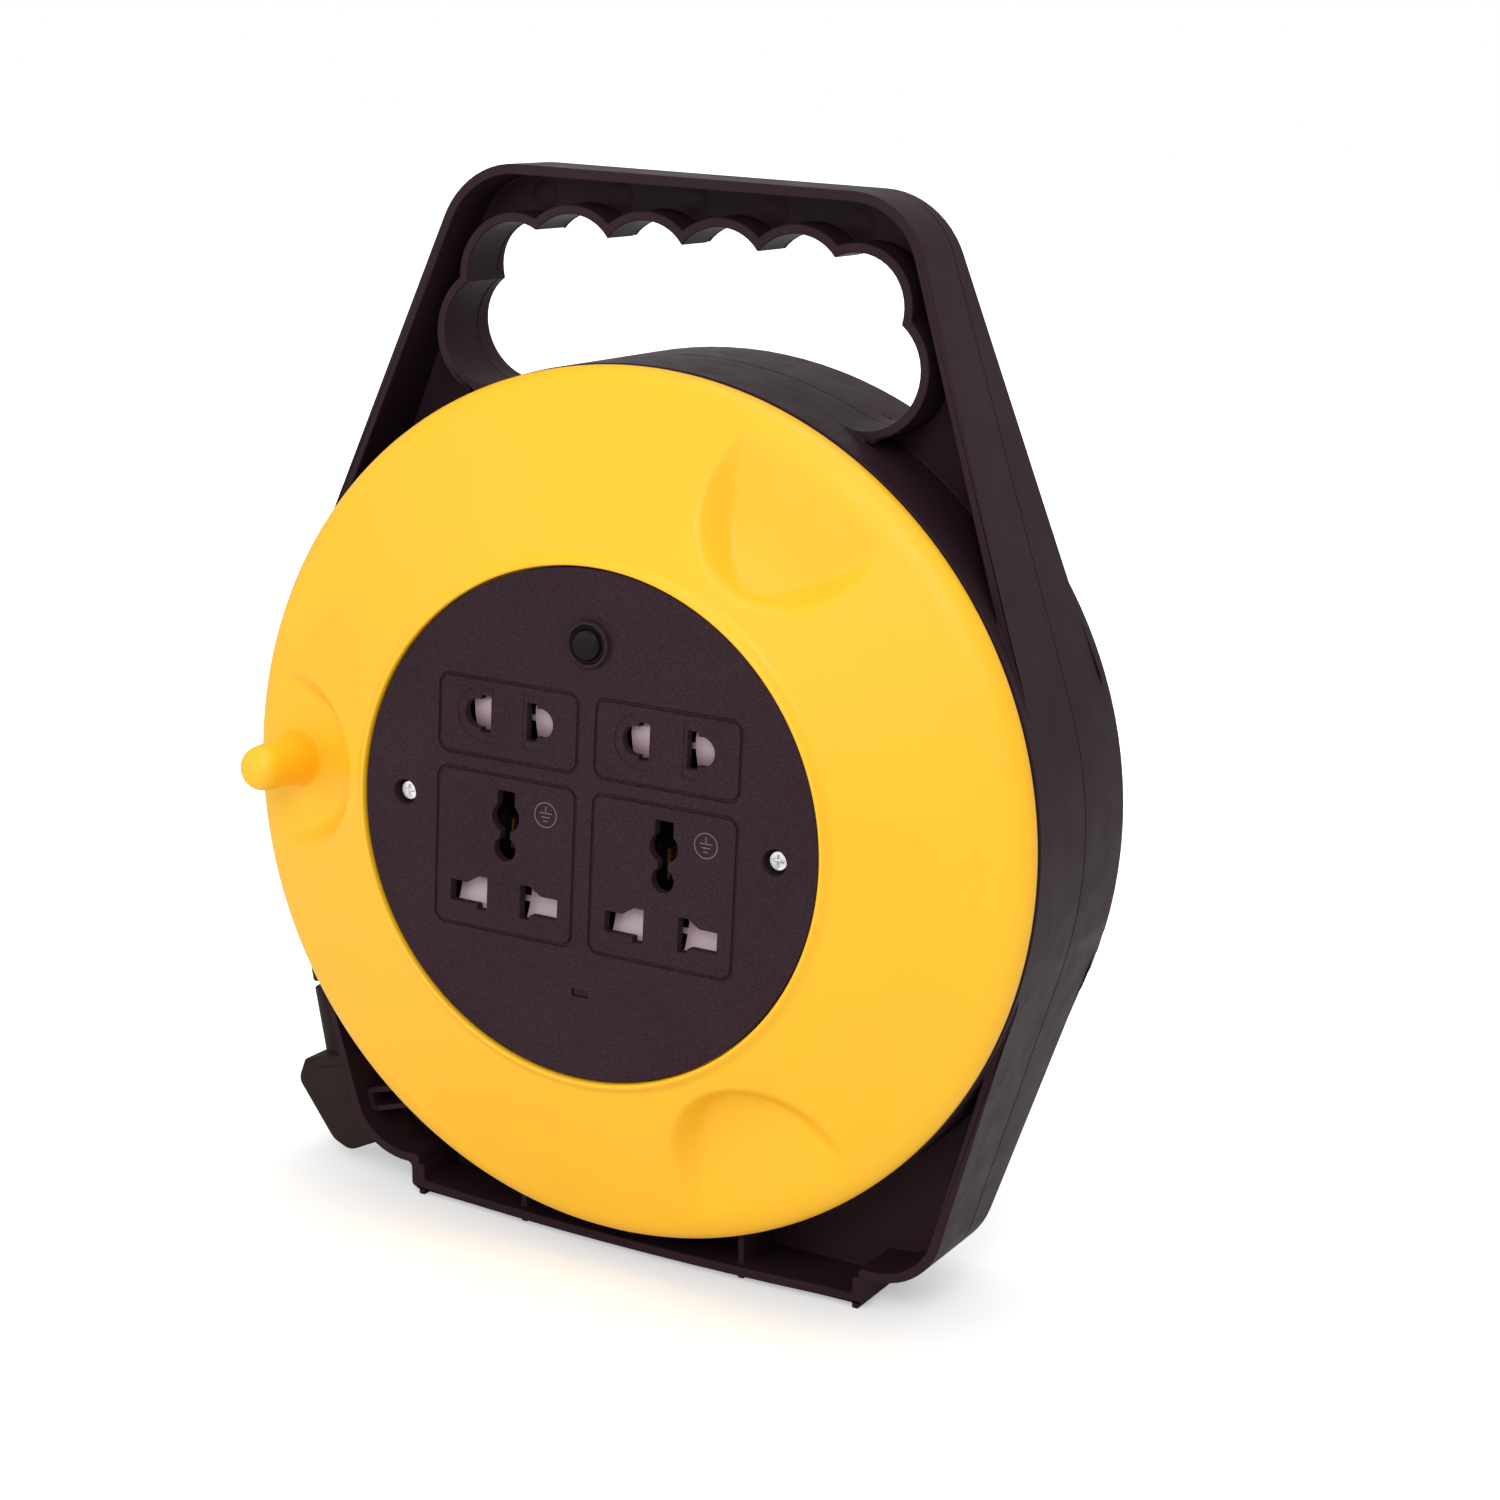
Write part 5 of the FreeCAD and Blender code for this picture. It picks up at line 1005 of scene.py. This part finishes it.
@dataclass
class WoundCable(Piece):
    """The cable on the barrel, layer on layer of round turns.

    Attributes:
        cable_r: Radius of the cable.
        barrel_r: Radius of the barrel.
        ends: Where the winding starts and ends along the axle.
        pitch: Distance between turns.
        inner_layers: Layers under the outer one.
        outer_gap: Gap under the outer layer.
        inner_steps: Steps in a turn and sides of the cable inside.
        outer_steps: The same for the outer layer.
    """

    cable_r: float = 3.5
    barrel_r: float = 45.3
    ends: Point = (0.2, 52.3)
    pitch: float = 7.12
    inner_layers: int = 3
    outer_gap: float = 0.4
    inner_steps: tuple[int, int] = (56, 8)
    outer_steps: tuple[int, int] = (72, 14)

    def layer(self, index: int, steps: int, sides: int, gap: float = 0.0) -> Mesh:
        """One layer as a helix, closed at both ends.

        Args:
            index: Number of layers under it.
            steps: Steps in a turn.
            sides: Sides of the cable.
            gap: Gap under it.

        Returns:
            The layer's mesh.
        """
        start, end = self.ends
        room = end - start - 2 * self.cable_r
        turns = room / self.pitch
        count = round(turns * steps)
        mesh = bmesh.new()
        ring = bmesh.ops.create_circle(mesh, cap_ends=False, segments=sides, radius=self.cable_r)["verts"]
        middle_r = self.barrel_r + self.cable_r * (2 * index + 1) + gap
        bmesh.ops.translate(mesh, vec=(middle_r, start + self.cable_r, 0), verts=ring)
        edges = list(mesh.edges)
        mesh.faces.new(ring)
        bmesh.ops.spin(mesh, geom=ring + edges, cent=(0, 0, 0), axis=AXLE, dvec=AXLE * (room / count),
                       angle=turns * FULL_TURN, steps=count, use_merge=False)
        bmesh.ops.remove_doubles(mesh, verts=mesh.verts, dist=MERGE_DISTANCE)
        bmesh.ops.holes_fill(mesh, edges=mesh.edges, sides=sides)
        return mesh

    def build(self, shop: Workshop) -> None:
        """Wind the inner layers and the outer one."""
        inner = joined([self.layer(index, *self.inner_steps) for index in range(self.inner_layers)])
        outer = self.layer(self.inner_layers, *self.outer_steps, self.outer_gap)
        for mesh, name, node in ((inner, "wound_inner_turns", "cable_inner_layers"),
                                 (outer, "wound_outer_turns", "cable_outer_layer")):
            shop.finish(mesh, name, Body.DRUM, "cable_black", (node,), smooth_deg=60)


@dataclass
class CableLead(Piece):
    """The cable from the drum through the case's bush to the plug, and the plug's side plate.

    Attributes:
        route: The cable's points (x, z), halfway along the case.
        middle_y: Their place along the axle.
        cable_r: Radius of the cable.
        length: The cable's length in metres; not used.
        far_pieces: The pieces at its far end; not used.
        plate: Corners (x, z) of the raised plate on the plug's side.
        plate_y: Back of the plate, inside the plug, and its front.
        plate_round: Width of its rounded edges.
    """

    route: Trail = ((-8.0, 77.6), (-38.1, 70.7), (-70.0, 50.1), (-98.3, 14.5), (-125.8, -33.1),
                                (-124.9, -49.0), (-121.7, -61.9), (-120.1, -67.7))
    middle_y: float = 33.0
    cable_r: float = 3.5
    length: float = 0.199
    far_pieces: tuple[str, ...] = ("plug_body_soft", "plug_strain_relief_soft", "plug_blades_soft",
                                   "plug_earth_pin")
    plate: Trail = ((-114.2, -103.4), (-97.6, -98.9), (-94.8, -109.6), (-111.4, -114.1))
    plate_y: Point = (20.8, 20.15)
    plate_round: float = 0.2

    def build(self, shop: Workshop) -> None:
        """Lay the cable and raise the plate."""
        line = bpy.data.curves.new("plug_lead", "CURVE")
        line.dimensions = "3D"
        spline = line.splines.new("NURBS")
        spline.points.add(len(self.route) - 1)
        places = [shop.to_reel @ Vector((x, self.middle_y, z)) for x, z in self.route]
        for point, place in zip(spline.points, places):
            point.co = (*place, 1.0)
        spline.order_u = 3
        spline.use_endpoint_u = True
        spline.resolution_u = 12
        line.bevel_depth = self.cable_r * MM
        line.bevel_resolution = 5
        line.use_fill_caps = True
        lead = placed("plug_lead", line)
        line.materials.append(shop.materials["cable_black"])
        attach(lead, Body.CASE.value)
        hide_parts("cable_lead")
        self.build_plate(shop)

    def build_plate(self, shop: Workshop) -> bpy.types.Object:
        """The low raised plate on the plug's side, left bare."""
        back, front = self.plate_y
        mesh = pushed([(x, back, z) for x, z in self.plate], (0, front - back, 0))
        bmesh.ops.bevel(mesh, geom=mesh.edges[:], offset=self.plate_round, segments=2, profile=0.5,
                        affect="EDGES", material=-1)
        return shop.finish(mesh, "plug_side_plate", Body.CASE, "plug_black")


@dataclass
class WebMarks(Piece):
    """Faint round moulding marks on the web over the grip.

    Attributes:
        places: Their places (x, z).
        section: Section (radius, y) of a mark, from inside the web to its face.
        steps: Steps round a mark.
    """

    places: Trail = ((-49.9, 159.6), (-26.2, 160.8), (-3.0, 161.6), (21.1, 160.8), (46.7, 158.8))
    section: Trail = ((0.0, 31.0), (4.2, 31.0), (4.2, 30.78), (4.08, 30.73), (0.0, 30.73))
    steps: int = 40

    def build(self, shop: Workshop) -> None:
        """Raise one low disc at each place."""
        discs = [lathe(list(self.section), self.steps, x, z) for x, z in self.places]
        shop.finish(joined(discs), "web_marks", Body.CASE, "casing_black")


@dataclass
class Camera:
    """The photograph's camera, fitted to the drum's rim and the case's corners.

    Attributes:
        place: Where it stands, in the reel's frame in metres.
        azimuth: Degrees round the reel to its right.
        elevation: Degrees above the level.
        roll: Degrees of turn round its view.
        focal_pixels: Focal length in pixels of the picture.
        picture_pixels: Width of the picture.
        centre: Pixel where its view goes straight ahead.
        sensor: Width of the sensor.
    """

    place: Place = (0.3982, -0.7225, 0.3471)
    azimuth: float = 27.7255
    elevation: float = 13.8462
    roll: float = 2.73978
    focal_pixels: float = 3056.145
    picture_pixels: float = 1500.0
    centre: Point = (744.34, 747.32)
    sensor: float = 36.0

    def build(self) -> None:
        """Put the camera in the scene and make it the one that looks."""
        data = bpy.data.cameras.new("photo_camera")
        data.sensor_width = self.sensor
        data.lens = self.focal_pixels / self.picture_pixels * self.sensor
        half = self.picture_pixels / 2
        data.shift_x = (half - self.centre[0]) / self.picture_pixels
        data.shift_y = (self.centre[1] - half) / self.picture_pixels
        data.clip_start = 0.01
        azimuth, elevation = radians(self.azimuth), radians(self.elevation)
        back = Vector((sin(azimuth) * cos(elevation), -cos(azimuth) * cos(elevation),
                       sin(elevation)))
        level = (-back).cross(Vector((0, 0, 1))).normalized()
        upright = level.cross(-back)
        turn = radians(self.roll)
        right = cos(turn) * level + sin(turn) * upright
        up = -sin(turn) * level + cos(turn) * upright
        camera = placed("photo_camera", data)
        axes = Matrix((right, up, back)).transposed()
        camera.matrix_world = Matrix.Translation(self.place) @ axes.to_4x4()
        bpy.context.scene.camera = camera


@dataclass(frozen=True)
class SoftBox:
    """One area lamp.

    Attributes:
        name: Its name.
        place: Where it hangs, in metres.
        size: Its width in metres.
        power: Its power in watts.
    """

    name: str
    place: Place
    size: float
    power: float

    def build(self, target: Vector) -> None:
        """Hang the lamp so that it looks at a target."""
        data = bpy.data.lights.new(self.name, "AREA")
        data.shape = "SQUARE"
        data.size = self.size
        data.energy = self.power
        lamp = placed(self.name, data)
        lamp.location = self.place
        lamp.rotation_mode = "QUATERNION"
        lamp.rotation_quaternion = (target - lamp.location).to_track_quat("-Z", "Y")


@dataclass
class Studio:
    """A plain white room with soft light, mostly from the front and above.

    Attributes:
        ambient: Strength of the light from all round.
        floor_half: Half the floor's width.
        floor_colours: Darker and lighter tone of the floor.
        floor_lift: The floor's own light near the reel and away from it, for the camera alone.
        floor_fade: Distances between which that light grows.
        middle: What the lamps look at.
        lamps: The lamps.
    """

    ambient: float = 0.56
    floor_half: float = 6.0
    floor_colours: tuple[Colour, Colour] = (srgb(232, 232, 232), srgb(236, 236, 236))
    floor_lift: Point = (0.4, 1.0)
    floor_fade: Point = (0.11, 0.42)
    middle: Place = (0, 0, 0.15)
    lamps: tuple[SoftBox, ...] = (
        SoftBox("key", (0.6, -1.6, 1.2), 0.8, 14.0),
        SoftBox("fill", (-1.1, -1.6, 0.25), 1.4, 10.0),
        SoftBox("top", (0.1, 0.1, 1.6), 1.0, 9.0),
    )

    def build(self) -> None:
        """Set up floor, surroundings and lamps."""
        self.build_world()
        self.build_floor()
        for lamp in self.lamps:
            lamp.build(Vector(self.middle))
        bpy.context.scene.view_settings.view_transform = "Standard"

    def build_world(self) -> None:
        """White to the camera, a softer grey to everything else."""
        world = bpy.data.worlds.new("studio")
        bpy.context.scene.world = world
        world.use_nodes = True
        tree = world.node_tree
        tree.nodes.clear()
        output = tree.nodes.new("ShaderNodeOutputWorld")
        mix = tree.nodes.new("ShaderNodeMixShader")
        path = tree.nodes.new("ShaderNodeLightPath")
        tree.links.new(path.outputs["Is Camera Ray"], mix.inputs["Fac"])
        for shader_input, strength in ((1, self.ambient), (2, 1.0)):
            glow = tree.nodes.new("ShaderNodeBackground")
            glow.inputs["Color"].default_value = (1, 1, 1, 1)
            glow.inputs["Strength"].default_value = strength
            tree.links.new(glow.outputs["Background"], mix.inputs[shader_input])
        tree.links.new(mix.outputs["Shader"], output.inputs["Surface"])

    def build_floor(self) -> None:
        """A wide pale floor that takes the reel's shadow and fades to white away from it."""
        mesh = bmesh.new()
        bmesh.ops.create_grid(mesh, x_segments=8, y_segments=8, size=self.floor_half)
        floor = placed("floor", baked(mesh, "floor"))
        sheet = NodeSheet("floor_white")
        grain = sheet.noise(60.0, detail=3.0)
        darker, lighter = self.floor_colours
        sheet.paint(sheet.shades(grain, (0.3, darker), (0.7, lighter)))
        sheet.gloss(grain, 0.85, 0.95)
        sheet.set("Specular IOR Level", 0.0)
        away = sheet.add("ShaderNodeVectorMath", operation="LENGTH")
        sheet.join(sheet.place, away.inputs[0])
        lift = sheet.span(away.outputs["Value"], *self.floor_lift, *self.floor_fade)
        path = sheet.add("ShaderNodeLightPath")
        seen = sheet.add("ShaderNodeMath", operation="MULTIPLY")
        sheet.join(path.outputs["Is Camera Ray"], seen.inputs[0])
        sheet.join(lift, seen.inputs[1])
        sheet.set("Emission Color", (1, 1, 1, 1))
        sheet.join(seen.outputs["Value"], sheet.shader.inputs["Emission Strength"])
        floor.data.materials.append(sheet.material)


def main() -> None:
    """Dress the reel and light it."""
    logging.basicConfig(level=logging.INFO, format="%(name)s %(message)s")
    Camera().build()
    shop = Workshop({finish.slot: finish.make() for finish in (*FINISHES, MARK_HIGHLIGHT_FINISH)})
    shop.dress_solids()
    pieces = (*SOFT_PIECES, CableLead(), DrumFlange(), CrankKnob(), ResetButton(), *SHUTTERS, EarthSigns(),
              WoundCable(), WebMarks())
    for piece in pieces:
        piece.build(shop)
    Studio().build()


if __name__ == "__main__":
    main()
